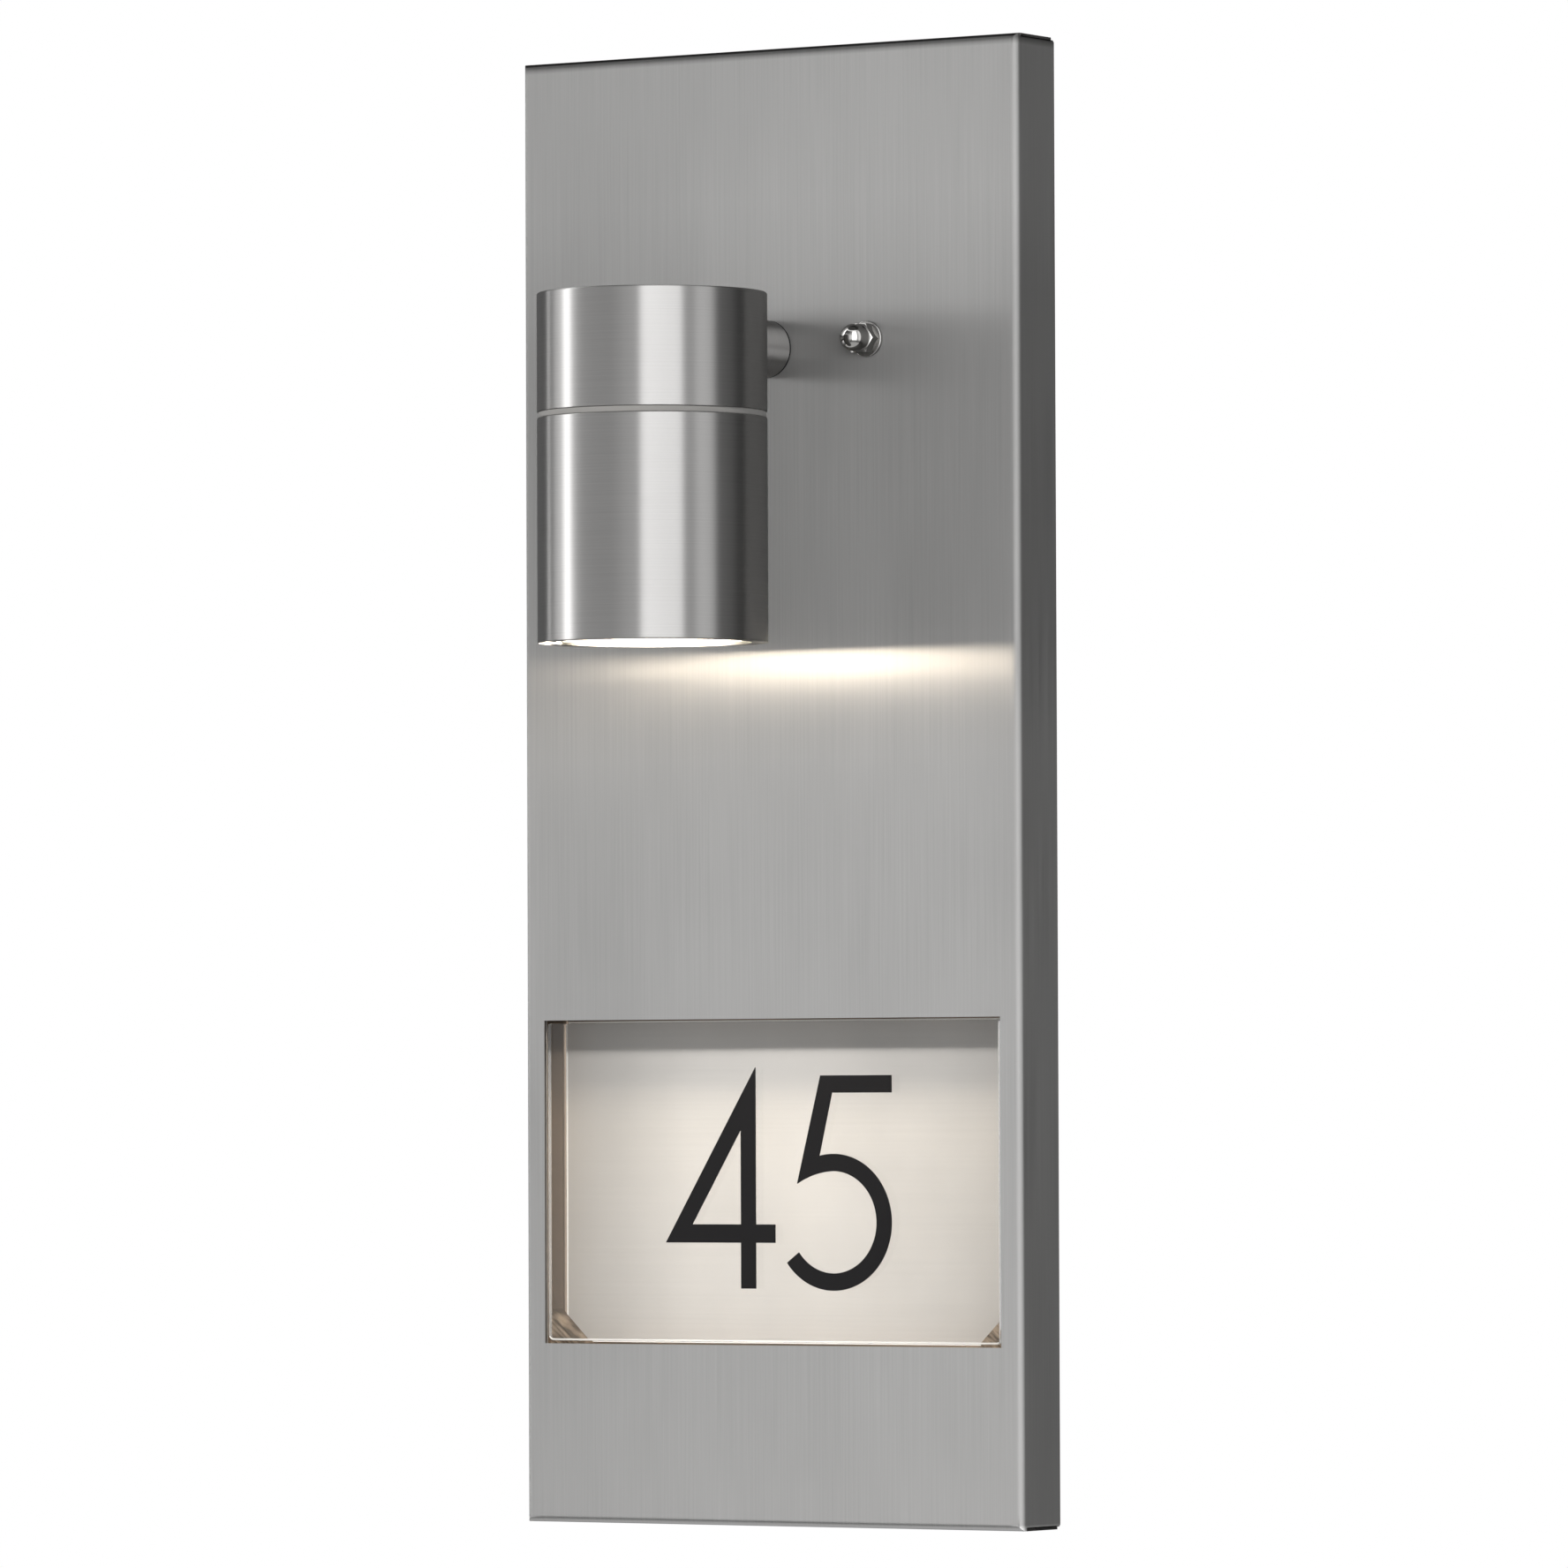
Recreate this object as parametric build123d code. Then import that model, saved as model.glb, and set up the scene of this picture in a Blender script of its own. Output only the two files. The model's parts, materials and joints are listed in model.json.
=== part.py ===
from build123d import *
import os
from math import cos, sin, sqrt, tan, radians

# Illuminated house number sign for a wall.
# Millimetres. +X to the viewer's right, +Z up, the face looks along -Y and the wall is the plane y = 0.
# The origin is on the wall, midway between the two wall studs, at the middle of the wall bracket.

# ---------------------------------------------------------------- fits and clearances
thread_gap = 0.05        # radial room between a screw or pin and its hole
running_gap = 0.07       # radial room where one piece turns in another
loose_gap = 0.25         # radial room of a clearance hole
past = 1.0               # how far a cut runs past what it cuts

# ---------------------------------------------------------------- face cover, one folded sheet
cover_width = 163.0
cover_height = 410.0
cover_depth = 20.0
cover_sheet = 1.0
cover_bend = 2.0         # outside radius of a fold
top_margin = 82.2        # from the stud line up to the cover's top edge
seam_gap = 0.5           # open seam between an end flange and a side flange
end_setback = 2.2        # the end flanges stop this far short of the wall
corner_clip = 1.2        # cut on the rear corners of the side flanges

# ---------------------------------------------------------------- number window, pane, pan and digits
window_side_margin = 6.5  # from the cover's side to the cut-out
window_height = 90.5
window_bottom_margin = 50.0
pane_gap = 0.8           # between the pane's edge and the cut-out
pane_thickness = 3.0
pane_recess = 0.5        # the pane's front lies this far behind the face
pane_corner = 1.0
pan_sheet = 0.8
pan_margin = 0.5         # the pan is this much wider than the cut-out on every side
pan_depth = 11.0         # from the back of the face to the pan's back panel
pan_bend = 2.0           # outside radius
pan_side_gap = 0.2       # from the pan's side flange to the start of the cover's fold
pan_end_flange = 12.0
pan_stud_radius = 1.5
pan_stud_length = 6.0
pan_stud_inset = 15.0    # from the window's side to the stud
pan_nut_flats = 5.5
pan_nut_height = 2.4
pad_width = 10.3
pad_height = 10.0
digit_thickness = 0.4
digit_stroke = 4.8
digit_four_x = -34.5     # left tip of the 4
digit_gap = 3.9          # between the 4's bar and the 5's tail
digit_rise = 1.1         # the 4's middle above the window's middle

# ---------------------------------------------------------------- wall bracket and what it carries
bracket_top = 18.0       # above the stud line
bracket_foot = 6.5       # below the terminal block
bracket_sheet = 2.0
bracket_corner = 4.0
stud_pitch = 66.0
stud_radius = 2.5
stud_head_radius = 4.0
stud_head_height = 0.8
stud_engagement = 7.0    # length of stud inside the cap nut
washer_radius = 5.0
washer_height = 1.0
cap_nut_flats = 8.0
cap_nut_hex_height = 4.0
cap_nut_dome_step = 0.25  # the dome's radius is this much less than half the flats
cap_nut_crown = 2.0      # metal in front of the bore
cap_nut_bore_room = 1.0  # free bore in front of the stud's end
cap_nut_chamfer = 0.5
slot_pitch = 104.0
slot_length = 14.0
slot_width = 5.2
slot_end_margin = 6.0    # from a slot's end to the bracket's side
cable_radius = 4.0       # bore of the cable bush
cable_bush_wall = 3.0
cable_bush_flange = 1.6
cable_bush_flange_height = 1.2
cable_x = -16.0
cable_z = -34.0

# ---------------------------------------------------------------- terminal block and earth point
block_x = 22.0
block_z = -35.0
block_depth = 13.0
block_corner = 1.5
pole_count = 3
block_web = 0.55         # between a barrel and the fixing screw beside it
block_end_wall = 2.5     # from a barrel's end to the block's end
barrel_room = 0.7        # radial room round a wire
barrel_wall = 0.9
barrel_end_wall = 0.75   # from a clamp screw to the barrel's end
barrel_depth = 6.0       # from the block's front to the barrel's axis
clamp_screw_pitch = 8.0
clamp_screw_radius = 1.25
clamp_screw_head_radius = 1.7
clamp_screw_head_height = 1.2
clamp_screw_sink = 1.2
block_screw_radius = 1.45
block_screw_head_radius = 2.6
block_screw_head_height = 1.8
block_screw_sink = 0.6
earth_x = -45.0
earth_z = -34.0
earth_screw_radius = 2.0
earth_head_radius = 3.8
earth_head_height = 2.6
earth_ring_radius = 4.2
earth_ring_sheet = 0.8
screw_end_gap = 0.5      # the screws in the bracket end this far from the wall
earth_barrel_radius = 1.7
earth_barrel_length = 6.0
earth_barrel_reach = 7.0  # from the screw to the start of the crimp barrel

# ---------------------------------------------------------------- arm
arm_drop = 1.5           # the arm's axis below the stud line
arm_radius = 8.0
arm_seal_height = 0.5
nipple_radius = 5.0
nipple_rear_reach = 5.5  # how far it stands out behind the face
rear_washer_height = 1.0
rear_washer_radius = 9.0
rear_nut_height = 3.5
nipple_nut_flats = 14.0
bush_wall = 0.7
bush_length = 8.0
bush_flange_radius = 5.4
bush_flange_height = 1.0
sleeve_wall = 0.6
sleeve_gap = 0.25        # between the sleeve and its bush
sleeve_rear_reach = 0.5  # how far the sleeve stands out of the bush
sleeve_front_reach = 2.5  # how far it stands out of the nipple in the head

# ---------------------------------------------------------------- lamp head
head_reach = 58.0        # from the face to the head's axis
housing_height = 32.5
housing_wall = 3.0
housing_roof = 3.0
housing_edge = 0.5
gasket_height = 1.8
gasket_inset = 0.3
gasket_gap = 0.17        # radial room between the gasket and the spigot
tube_wall = 2.0
tube_edge = 0.3
thread_engagement = 6.0
spigot_wall = 2.0
seat_depth = 1.2         # the arm's end sinks this far into the head
boss_radius = 9.0
boss_stand = 2.5         # inner boss under the head's nut
head_washer_height = 1.0
head_washer_inset = 0.5  # the washer's rim lies this far inside the boss's rim
head_nut_height = 4.0
nipple_head_reach = 1.5  # thread left in front of the head's nut

# ---------------------------------------------------------------- front glass
lip_height = 1.0
lip_width = 2.5
glass_seal_height = 0.5
glass_thickness = 3.0
clip_height = 1.2
clip_width = 2.2
clip_gap = 12.0          # degrees left open

# ---------------------------------------------------------------- lampholder and lamp
lamp_gap = 2.0           # from the spring clip to the lamp's front
lamp_side_room = 4.5     # from the lamp's rim to the tube's inside
strap_drop = 9.5         # from the arm's axis down to the strap's web
lamp_length = 50.0
lamp_radius = 25.0
lamp_wall = 1.5
lamp_rim_height = 8.0
lamp_neck_radius = 12.0
lamp_neck_height = 10.0
lamp_back_height = 6.0   # solid back of the neck
lens_thickness = 2.0
lens_recess = 1.0
pin_pitch = 10.0
pin_neck_radius = 1.5
pin_neck_height = 2.6
pin_head_radius = 2.4
pin_head_height = 2.4
pin_clearance = 0.3
lamp_twist = 20.0        # degrees from locked to free
holder_radius = 15.0
holder_height = 15.4
holder_screw_pitch = 21.0
holder_screw_radius = 1.45
holder_screw_length = 7.0
holder_screw_head_radius = 2.7
holder_screw_head_height = 1.8
strap_sheet = 1.0
strap_edge = 2.5         # from a holder screw's axis to the strap's edge
strap_web = 24.0
strap_screw_reach = 4.0  # from the strap's side to its screw
strap_lead_width = 16.0
strap_lead_depth = 8.0
strap_boss_radius = 3.5
strap_boss_height = 6.0
strap_screw_length = 5.0
drill_room = 0.5         # a blind hole is this much deeper than its screw
lead_radius = 0.9
lead_spread = 2.2        # between the two leads in the sleeve
lead_bend = 8.0
lead_straight = 5.0      # straight run of the leads out of the sleeve
lead_dip = 0.7           # the leads' bend lies this far below the arm's axis
lead_rise = 2.5          # height at which a lead turns down into the terminal block

# ---------------------------------------------------------------- worked out from the sizes above
cover_top = top_margin
window_width = cover_width - 2 * window_side_margin
cover_bottom = top_margin - cover_height
face_front = -cover_depth
face_back = face_front + cover_sheet
window_bottom = cover_bottom + window_bottom_margin
window_top = window_bottom + window_height
window_middle = (window_bottom + window_top) / 2
pane_front = face_front + pane_recess
pane_back = pane_front + pane_thickness
pan_back_front = face_back + pan_depth
pan_inside_width = window_width + 2 * pan_margin
pan_inside_height = window_height + 2 * pan_margin
pan_inside_bottom = window_bottom - pan_margin
pan_inner_bend = pan_bend - pan_sheet
pan_side_flange = window_side_margin - pan_margin - pan_sheet - cover_bend - pan_side_gap
barrel_bore = lead_radius + barrel_room
barrel_radius = barrel_bore + barrel_wall
barrel_length = clamp_screw_pitch + 2 * (clamp_screw_radius + barrel_end_wall)
pole_pitch = 2 * (barrel_radius + block_web + block_screw_radius)
block_width = pole_count * pole_pitch
block_height = barrel_length + 2 * block_end_wall
bracket_width = slot_pitch + slot_length + 2 * slot_end_margin
bracket_drop = block_height / 2 - block_z + bracket_foot
bracket_front = -bracket_sheet
bracket_height = bracket_top + bracket_drop
bracket_middle = (bracket_top - bracket_drop) / 2
block_front = bracket_front - block_depth
barrel_y = block_front + barrel_depth
pole_xs = [block_x + (i - (pole_count - 1) / 2) * pole_pitch for i in range(pole_count)]
cap_nut_height = stud_engagement + cap_nut_bore_room + cap_nut_crown
cap_nut_dome_radius = cap_nut_flats / 2 - cap_nut_dome_step
sleeve_radius = lead_spread / 2 + lead_radius + sleeve_wall
nipple_bore = sleeve_radius + sleeve_gap + bush_wall + thread_gap
head_radius = lamp_radius + lamp_side_room + tube_wall
head_rise = boss_radius + housing_roof - arm_drop
arm_z = -arm_drop
arm_rear = face_front - arm_seal_height
head_y = face_front - head_reach
arm_front = head_y + head_radius - seat_depth
housing_inner = head_radius - housing_wall
boss_front = head_y + housing_inner - boss_stand
nipple_front = boss_front - head_washer_height - head_nut_height - nipple_head_reach
nipple_rear = face_back + nipple_rear_reach
bush_rear = nipple_rear + bush_flange_height
sleeve_rear = bush_rear + sleeve_rear_reach
sleeve_front = nipple_front - sleeve_front_reach
housing_bottom = head_rise - housing_height
roof_under = head_rise - housing_roof
tube_top = housing_bottom - gasket_height
tube_inner = head_radius - tube_wall
spigot_radius = tube_inner - running_gap
spigot_inner = spigot_radius - spigot_wall
spigot_bottom = tube_top - thread_engagement
strap_web_top = arm_z - strap_drop
holder_top = strap_web_top - strap_sheet
lamp_base = holder_top - holder_height
lamp_front = lamp_base - lamp_length
clip_top = lamp_front - lamp_gap
glass_top = clip_top - clip_height
glass_bottom = glass_top - glass_thickness
seal_bottom = glass_bottom - glass_seal_height
tube_bottom = seal_bottom - lip_height
lip_radius = tube_inner - lip_width
strap_foot = 2 * strap_screw_reach
strap_boss_pitch = strap_web + strap_foot
strap_depth = holder_screw_pitch + 2 * strap_edge
strap_foot_under = roof_under - strap_boss_height - strap_sheet
stud_length = cover_depth + washer_height + stud_engagement
stud_xs = [-stud_pitch / 2, stud_pitch / 2]


# ---------------------------------------------------------------- small makers
def block(x0, x1, y0, y1, z0, z1):
    """A box between three pairs of planes."""
    middle = ((x0 + x1) / 2, (y0 + y1) / 2, (z0 + z1) / 2)
    return Pos(*middle) * Box(abs(x1 - x0), abs(y1 - y0), abs(z1 - z0))


def rod_y(radius, y0, y1, x=0.0, z=0.0):
    """A cylinder along Y between two planes."""
    return Pos(x, (y0 + y1) / 2, z) * Rot(90, 0, 0) * Cylinder(radius, abs(y1 - y0))


def rod_z(radius, z0, z1, x=0.0, y=0.0):
    """A cylinder along Z between two planes."""
    return Pos(x, y, (z0 + z1) / 2) * Cylinder(radius, abs(z1 - z0))


def rod_x(radius, x0, x1, y=0.0, z=0.0):
    """A cylinder along X between two planes."""
    return Pos((x0 + x1) / 2, y, z) * Rot(0, 90, 0) * Cylinder(radius, abs(x1 - x0))


def ring_y(outer, inner, y0, y1, x=0.0, z=0.0):
    return rod_y(outer, y0, y1, x, z) - rod_y(inner, y0, y1, x, z)


def ring_z(outer, inner, z0, z1, x=0.0, y=0.0):
    return rod_z(outer, z0, z1, x, y) - rod_z(inner, z0, z1, x, y)


def slab(sketch, y_back, y_front):
    """A flat piece: the sketch's x and y are the sign's X and Z, its thickness runs along Y."""
    return extrude(Plane.XZ.offset(-y_back) * sketch, amount=y_back - y_front)


def hex_y(flats, y_back, y_front, x=0.0, z=0.0):
    """A hexagonal prism along Y with two corners level with its axis."""
    return slab(Pos(x, z) * RegularPolygon(flats / 2, 6, major_radius=False), y_back, y_front)


def turned(points, y=0.0):
    """A body of revolution about a vertical axis at the given y, from (radius, height) points."""
    profile = make_face(Polyline(*[(r, 0, z) for r, z in points], close=True))
    return Pos(0, y, 0) * revolve(profile, Axis.Z)


def turned_y(points, x=0.0, z=0.0):
    """A body of revolution about an axis along Y, from (radius, y) points."""
    profile = make_face(Polyline(*[(r, y, 0) for r, y in points], close=True))
    return Pos(x, 0, z) * revolve(profile, Axis.Y)


def both_sides(maker, distance):
    """The same piece made at plus and minus half a distance."""
    return [maker(side * distance / 2) for side in (-1, 1)]


def soft_bends(points):
    """Arc radii for a lead: each as large as its two straight runs allow."""
    radii = []
    for before, corner, after in zip(points, points[1:], points[2:]):
        run_in = Vector(*corner) - Vector(*before)
        run_out = Vector(*after) - Vector(*corner)
        half_turn = radians(run_in.get_angle(run_out)) / 2
        radii.append(0.45 * min(run_in.length, run_out.length) / tan(half_turn))
    return radii


def lead(points, radii):
    """An insulated wire: a round section swept along straight runs joined by tangent arcs."""
    print("lead with arcs of", [round(r, 1) for r in radii])
    path = FilletPolyline(*points, radius=radii)
    start = Plane(origin=path @ 0, z_dir=path % 0)
    return sweep(start * Circle(lead_radius), path=path)


def save(node, pieces):
    """Write one node; a list becomes a group of separate solids."""
    shape = Compound(children=[Part(p.wrapped) for p in pieces]) if isinstance(pieces, list) else pieces
    export_step(shape, "parts/" + node + ".step")


# ---------------------------------------------------------------- face cover
def make_face_cover():
    half = cover_width / 2
    shell = block(-half, half, face_front, 0, cover_bottom, cover_top)
    shell = fillet(shell.faces().sort_by(Axis.Y)[0].edges(), cover_bend)
    hollow = block(-half + cover_sheet, half - cover_sheet, face_back, cover_depth,
                   cover_bottom + cover_sheet, cover_top - cover_sheet)
    hollow = fillet(hollow.faces().sort_by(Axis.Y)[0].edges(), cover_bend - cover_sheet)
    shell -= hollow
    for end, inward in ((cover_top, -1), (cover_bottom, 1)):
        seam_out = end + inward * cover_sheet
        seam_in = seam_out + inward * seam_gap
        for side in (-1, 1):
            shell -= block(side * (half - cover_sheet), side * (half + past), face_front + cover_bend, past,
                           seam_out, seam_in)
            clip = Polyline((0, seam_in), (-corner_clip, seam_in), (0, seam_in + inward * corner_clip),
                            close=True)
            wedge = extrude(Plane.YZ.offset(side * half) * make_face(clip), amount=-side * 2 * cover_sheet)
            shell -= wedge
        shell -= block(-half - past, half + past, -end_setback, past, end - inward * past, seam_out)
    shell -= block(-window_width / 2, window_width / 2, face_front - past, face_back + past,
                   window_bottom, window_top)
    for x in stud_xs:
        shell -= rod_y(stud_radius + loose_gap, face_front - past, face_back + past, x)
    return shell - rod_y(nipple_radius + running_gap, face_front - past, face_back + past, 0, arm_z)


# ---------------------------------------------------------------- number window
def make_number_pane():
    outline = RectangleRounded(window_width - 2 * pane_gap, window_height - 2 * pane_gap, pane_corner)
    return slab(Pos(0, window_middle) * outline, pane_back, pane_front)


def pan_stud_places():
    """Two studs above and two below the window, in the middle of the pan's end flanges."""
    rise = pan_inside_height / 2 + pan_sheet + (pan_end_flange - pan_sheet) / 2
    places = []
    for side in (-1, 1):
        for end in (-1, 1):
            places.append((side * (window_width / 2 - pan_stud_inset), window_middle + end * rise))
    return places


def make_number_pan():
    wide = pan_inside_width / 2
    low = pan_inside_bottom
    high = low + pan_inside_height
    flange_back = face_back + pan_sheet
    tray = block(-wide - pan_sheet, wide + pan_sheet, face_back, pan_back_front + pan_sheet,
                 low - pan_sheet, high + pan_sheet)
    tray = fillet(tray.faces().sort_by(Axis.Y)[-1].edges(), pan_bend)
    tray += block(-wide - pan_sheet - pan_side_flange, wide + pan_sheet + pan_side_flange, face_back,
                  flange_back, low - pan_end_flange, high + pan_end_flange)
    well = block(-wide, wide, face_back - past, pan_back_front, low, high)
    well = fillet(well.faces().sort_by(Axis.Y)[-1].edges(), pan_inner_bend)
    tray -= well
    for x, z in pan_stud_places():
        tray -= rod_y(pan_stud_radius + loose_gap, face_back - past, flange_back + past, x, z)
    return tray


def make_pan_studs():
    return [rod_y(pan_stud_radius, face_back, face_back + pan_stud_length, x, z)
            for x, z in pan_stud_places()]


def make_pan_nuts():
    near = face_back + pan_sheet
    far = near + pan_nut_height
    return [hex_y(pan_nut_flats, far, near, x, z)
            - rod_y(pan_stud_radius + thread_gap, near - past, far + past, x, z)
            for x, z in pan_stud_places()]


def make_pane_pads():
    """Clear three-cornered pads that the pane is bonded to, one in each lower corner of the pan."""
    rear = pan_back_front - pan_inner_bend

    def pad(side_x):
        inward = -1 if side_x > 0 else 1
        corner = Polyline((side_x, pan_inside_bottom), (side_x + inward * pad_width, pan_inside_bottom),
                          (side_x, pan_inside_bottom + pad_height), close=True)
        return slab(make_face(corner), rear, pane_back)

    return both_sides(pad, pan_inside_width)


# ---------------------------------------------------------------- digits, as cut vinyl
four_height = 61.3
four_stem_right = 29.7
four_bar_low = 12.7
four_bar_thickness = 5.1
four_bar_end = 36.1
five_height = 59.0
five_bar_length = 23.1
five_lean = 7.7          # how far the stem's foot lies left of the bar's end
five_stem_drop = 29.9
five_bowl_x = 4.1
five_bowl_z = 18.45
five_bowl_radius = 18.9
five_tail_angle = 216.4  # degrees, where the bowl's lower end is cut
five_notch_angle = 104.0  # degrees, where the stem meets the bowl's outside
five_stem_share = 0.77   # the stem's width against the stroke
five_side_angle = -20.0  # degrees, a point on the bowl's right side
five_shoulder_angle = 116.0  # degrees, where the hook leaves the bowl's inside
five_shoulder_lift = 0.4


def digit_slab(face, x):
    base = window_middle - four_height / 2 + digit_rise
    return slab(Pos(x, base) * face, pane_front, pane_front - digit_thickness)


def make_digit_4():
    right = four_stem_right
    left = right - digit_stroke
    bar_top = four_bar_low + four_bar_thickness
    slope = (four_height - four_bar_low) / right
    drop = digit_stroke * sqrt(1 + slope ** 2)
    counter_low = (bar_top - four_bar_low + drop) / slope
    counter_high = four_bar_low + slope * left - drop
    solid = make_face(Polyline((0, four_bar_low), (right, four_height), (right, bar_top),
                               (four_bar_end, bar_top), (four_bar_end, four_bar_low),
                               (right, four_bar_low), (right, 0), (left, 0), (left, four_bar_low),
                               close=True))
    counter = make_face(Polyline((counter_low, bar_top), (left, counter_high), (left, bar_top),
                                 close=True))
    return digit_slab(solid - counter, digit_four_x)


def make_digit_5():
    inner = five_bowl_radius - digit_stroke

    def on_bowl(radius, degrees):
        return (five_bowl_x + radius * cos(radians(degrees)), five_bowl_z + radius * sin(radians(degrees)))

    foot = (-five_lean, five_height - five_stem_drop)
    bar_under = five_height - digit_stroke
    notch = on_bowl(five_bowl_radius, five_notch_angle)
    tail = on_bowl(five_bowl_radius, five_tail_angle)
    crown = on_bowl(inner, 90)
    shoulder = on_bowl(inner + five_shoulder_lift, five_shoulder_angle)
    outline = Curve() + [
        Polyline(foot, (0, five_height), (five_bar_length, five_height), (five_bar_length, bar_under),
                 (digit_stroke * five_stem_share, bar_under), notch),
        ThreePointArc(notch, on_bowl(five_bowl_radius, five_side_angle), tail),
        Line(tail, on_bowl(inner, five_tail_angle)),
        ThreePointArc(on_bowl(inner, five_tail_angle), on_bowl(inner, five_side_angle), crown),
        ThreePointArc(crown, shoulder, foot),
    ]
    five_left = five_bowl_x + five_bowl_radius * cos(radians(five_tail_angle))
    return digit_slab(make_face(outline), digit_four_x + four_bar_end + digit_gap - five_left)


# ---------------------------------------------------------------- wall bracket and fastenings
def make_wall_bracket():
    outline = Pos(0, bracket_middle) * RectangleRounded(bracket_width, bracket_height, bracket_corner)
    for side in (-1, 1):
        outline -= Pos(side * slot_pitch / 2, 0) * SlotOverall(slot_length, slot_width)
    plate = slab(outline, 0, bracket_front)
    for x in stud_xs:
        plate -= rod_y(stud_radius + thread_gap, past, bracket_front - past, x)
        plate -= rod_y(stud_head_radius + thread_gap, past, -stud_head_height, x)
    plate -= rod_y(cable_radius + cable_bush_wall + thread_gap, past, bracket_front - past,
                   cable_x, cable_z)
    plate -= rod_y(earth_screw_radius + thread_gap, past, bracket_front - past, earth_x, earth_z)
    for x in block_screw_xs():
        plate -= rod_y(block_screw_radius + thread_gap, past, bracket_front - past, x, block_z)
    return plate


def make_wall_studs():
    return [rod_y(stud_head_radius, 0, -stud_head_height, x) + rod_y(stud_radius, 0, -stud_length, x)
            for x in stud_xs]


def make_stud_washers():
    return [ring_y(washer_radius, stud_radius + loose_gap, face_front, face_front - washer_height, x)
            for x in stud_xs]


def make_cap_nuts():
    seat = face_front - washer_height
    hex_front = seat - cap_nut_hex_height
    dome_y = seat - cap_nut_height + cap_nut_dome_radius
    bore_end = seat - stud_engagement - cap_nut_bore_room
    corner = cap_nut_flats / sqrt(3)
    envelope = turned_y([(0, seat), (corner, seat), (corner, hex_front + cap_nut_chamfer),
                         (cap_nut_flats / 2, hex_front), (0, hex_front)])

    def nut(x):
        body = hex_y(cap_nut_flats, seat, hex_front, x) & Pos(x, 0, 0) * envelope
        body += rod_y(cap_nut_dome_radius, hex_front, dome_y, x)
        body += Pos(x, dome_y, 0) * Sphere(cap_nut_dome_radius)
        return body - rod_y(stud_radius + thread_gap, seat + past, bore_end, x)

    return both_sides(nut, stud_pitch)


def make_cable_bush():
    outer = cable_radius + cable_bush_wall
    bush = rod_y(outer, 0, bracket_front, cable_x, cable_z)
    bush += rod_y(outer + cable_bush_flange, bracket_front, bracket_front - cable_bush_flange_height,
                  cable_x, cable_z)
    return bush - rod_y(cable_radius, past, bracket_front - cable_bush_flange_height - past,
                    cable_x, cable_z)


# ---------------------------------------------------------------- terminals
def block_screw_xs():
    return [block_x - pole_pitch / 2, block_x + pole_pitch / 2]


def clamp_screw_zs():
    return [block_z - clamp_screw_pitch / 2, block_z + clamp_screw_pitch / 2]


def make_terminal_block():
    outline = Pos(block_x, block_z) * RectangleRounded(block_width, block_height, block_corner)
    body = slab(outline, bracket_front, block_front)
    for x in pole_xs:
        body -= rod_z(barrel_radius + thread_gap, block_z - block_height, block_z + block_height,
                      x, barrel_y)
        for z in clamp_screw_zs():
            body -= rod_y(clamp_screw_head_radius + loose_gap, barrel_y, block_front - past, x, z)
    seat = block_front + block_screw_sink + block_screw_head_height
    for x in block_screw_xs():
        body -= rod_y(block_screw_radius + thread_gap, bracket_front + past, block_front - past,
                      x, block_z)
        body -= rod_y(block_screw_head_radius + thread_gap, seat, block_front - past, x, block_z)
    return body


def make_terminal_barrels():
    barrels = []
    for x in pole_xs:
        barrel = ring_z(barrel_radius, barrel_bore, block_z - barrel_length / 2,
                        block_z + barrel_length / 2, x, barrel_y)
        for z in clamp_screw_zs():
            barrel -= rod_y(clamp_screw_radius + thread_gap, barrel_y, barrel_y - 2 * barrel_radius, x, z)
        barrels.append(barrel)
    return barrels


def make_clamp_screws():
    tip = barrel_y - lead_radius
    head_front = block_front + clamp_screw_sink
    head_back = head_front + clamp_screw_head_height
    return [rod_y(clamp_screw_radius, tip, head_back, x, z)
            + rod_y(clamp_screw_head_radius, head_back, head_front, x, z)
            for x in pole_xs for z in clamp_screw_zs()]


def make_block_screws():
    head_front = block_front + block_screw_sink
    head_back = head_front + block_screw_head_height
    return [rod_y(block_screw_radius, -screw_end_gap, head_back, x, block_z)
            + rod_y(block_screw_head_radius, head_back, head_front, x, block_z)
            for x in block_screw_xs()]


def make_earth_ring():
    near = bracket_front - earth_ring_sheet
    barrel_start = earth_x + earth_barrel_reach
    barrel_centre = bracket_front - earth_barrel_radius
    ring = rod_y(earth_ring_radius, bracket_front, near, earth_x, earth_z)
    ring += block(earth_x, barrel_start + earth_barrel_length / 3, bracket_front, near,
                  earth_z - earth_barrel_radius, earth_z + earth_barrel_radius)
    ring += rod_x(earth_barrel_radius, barrel_start, barrel_start + earth_barrel_length,
                  barrel_centre, earth_z)
    return ring - rod_y(earth_screw_radius + thread_gap, bracket_front + past, near - past,
                    earth_x, earth_z)


def make_earth_screw():
    seat = bracket_front - earth_ring_sheet
    return (rod_y(earth_screw_radius, -screw_end_gap, seat, earth_x, earth_z)
            + rod_y(earth_head_radius, seat, seat - earth_head_height, earth_x, earth_z))


def lead_to_pole(start, turns, pole_x):
    """A lead's points: out of its start, past the turns, over the block's top edge and down into a barrel.

    A turn is a share of the way to the block in x, a depth, and a share of the way in z."""
    over = (pole_x, barrel_y, block_z + block_height / 2 + lead_rise)
    end = (pole_x, barrel_y, block_z + clamp_screw_pitch / 2 - clamp_screw_radius)
    points = [start]
    for share_x, y, share_z in turns:
        x = start[0] + share_x * (over[0] - start[0])
        z = start[2] + share_z * (over[2] - start[2])
        points.append((x, y, z))
    return points + [over, end]


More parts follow.
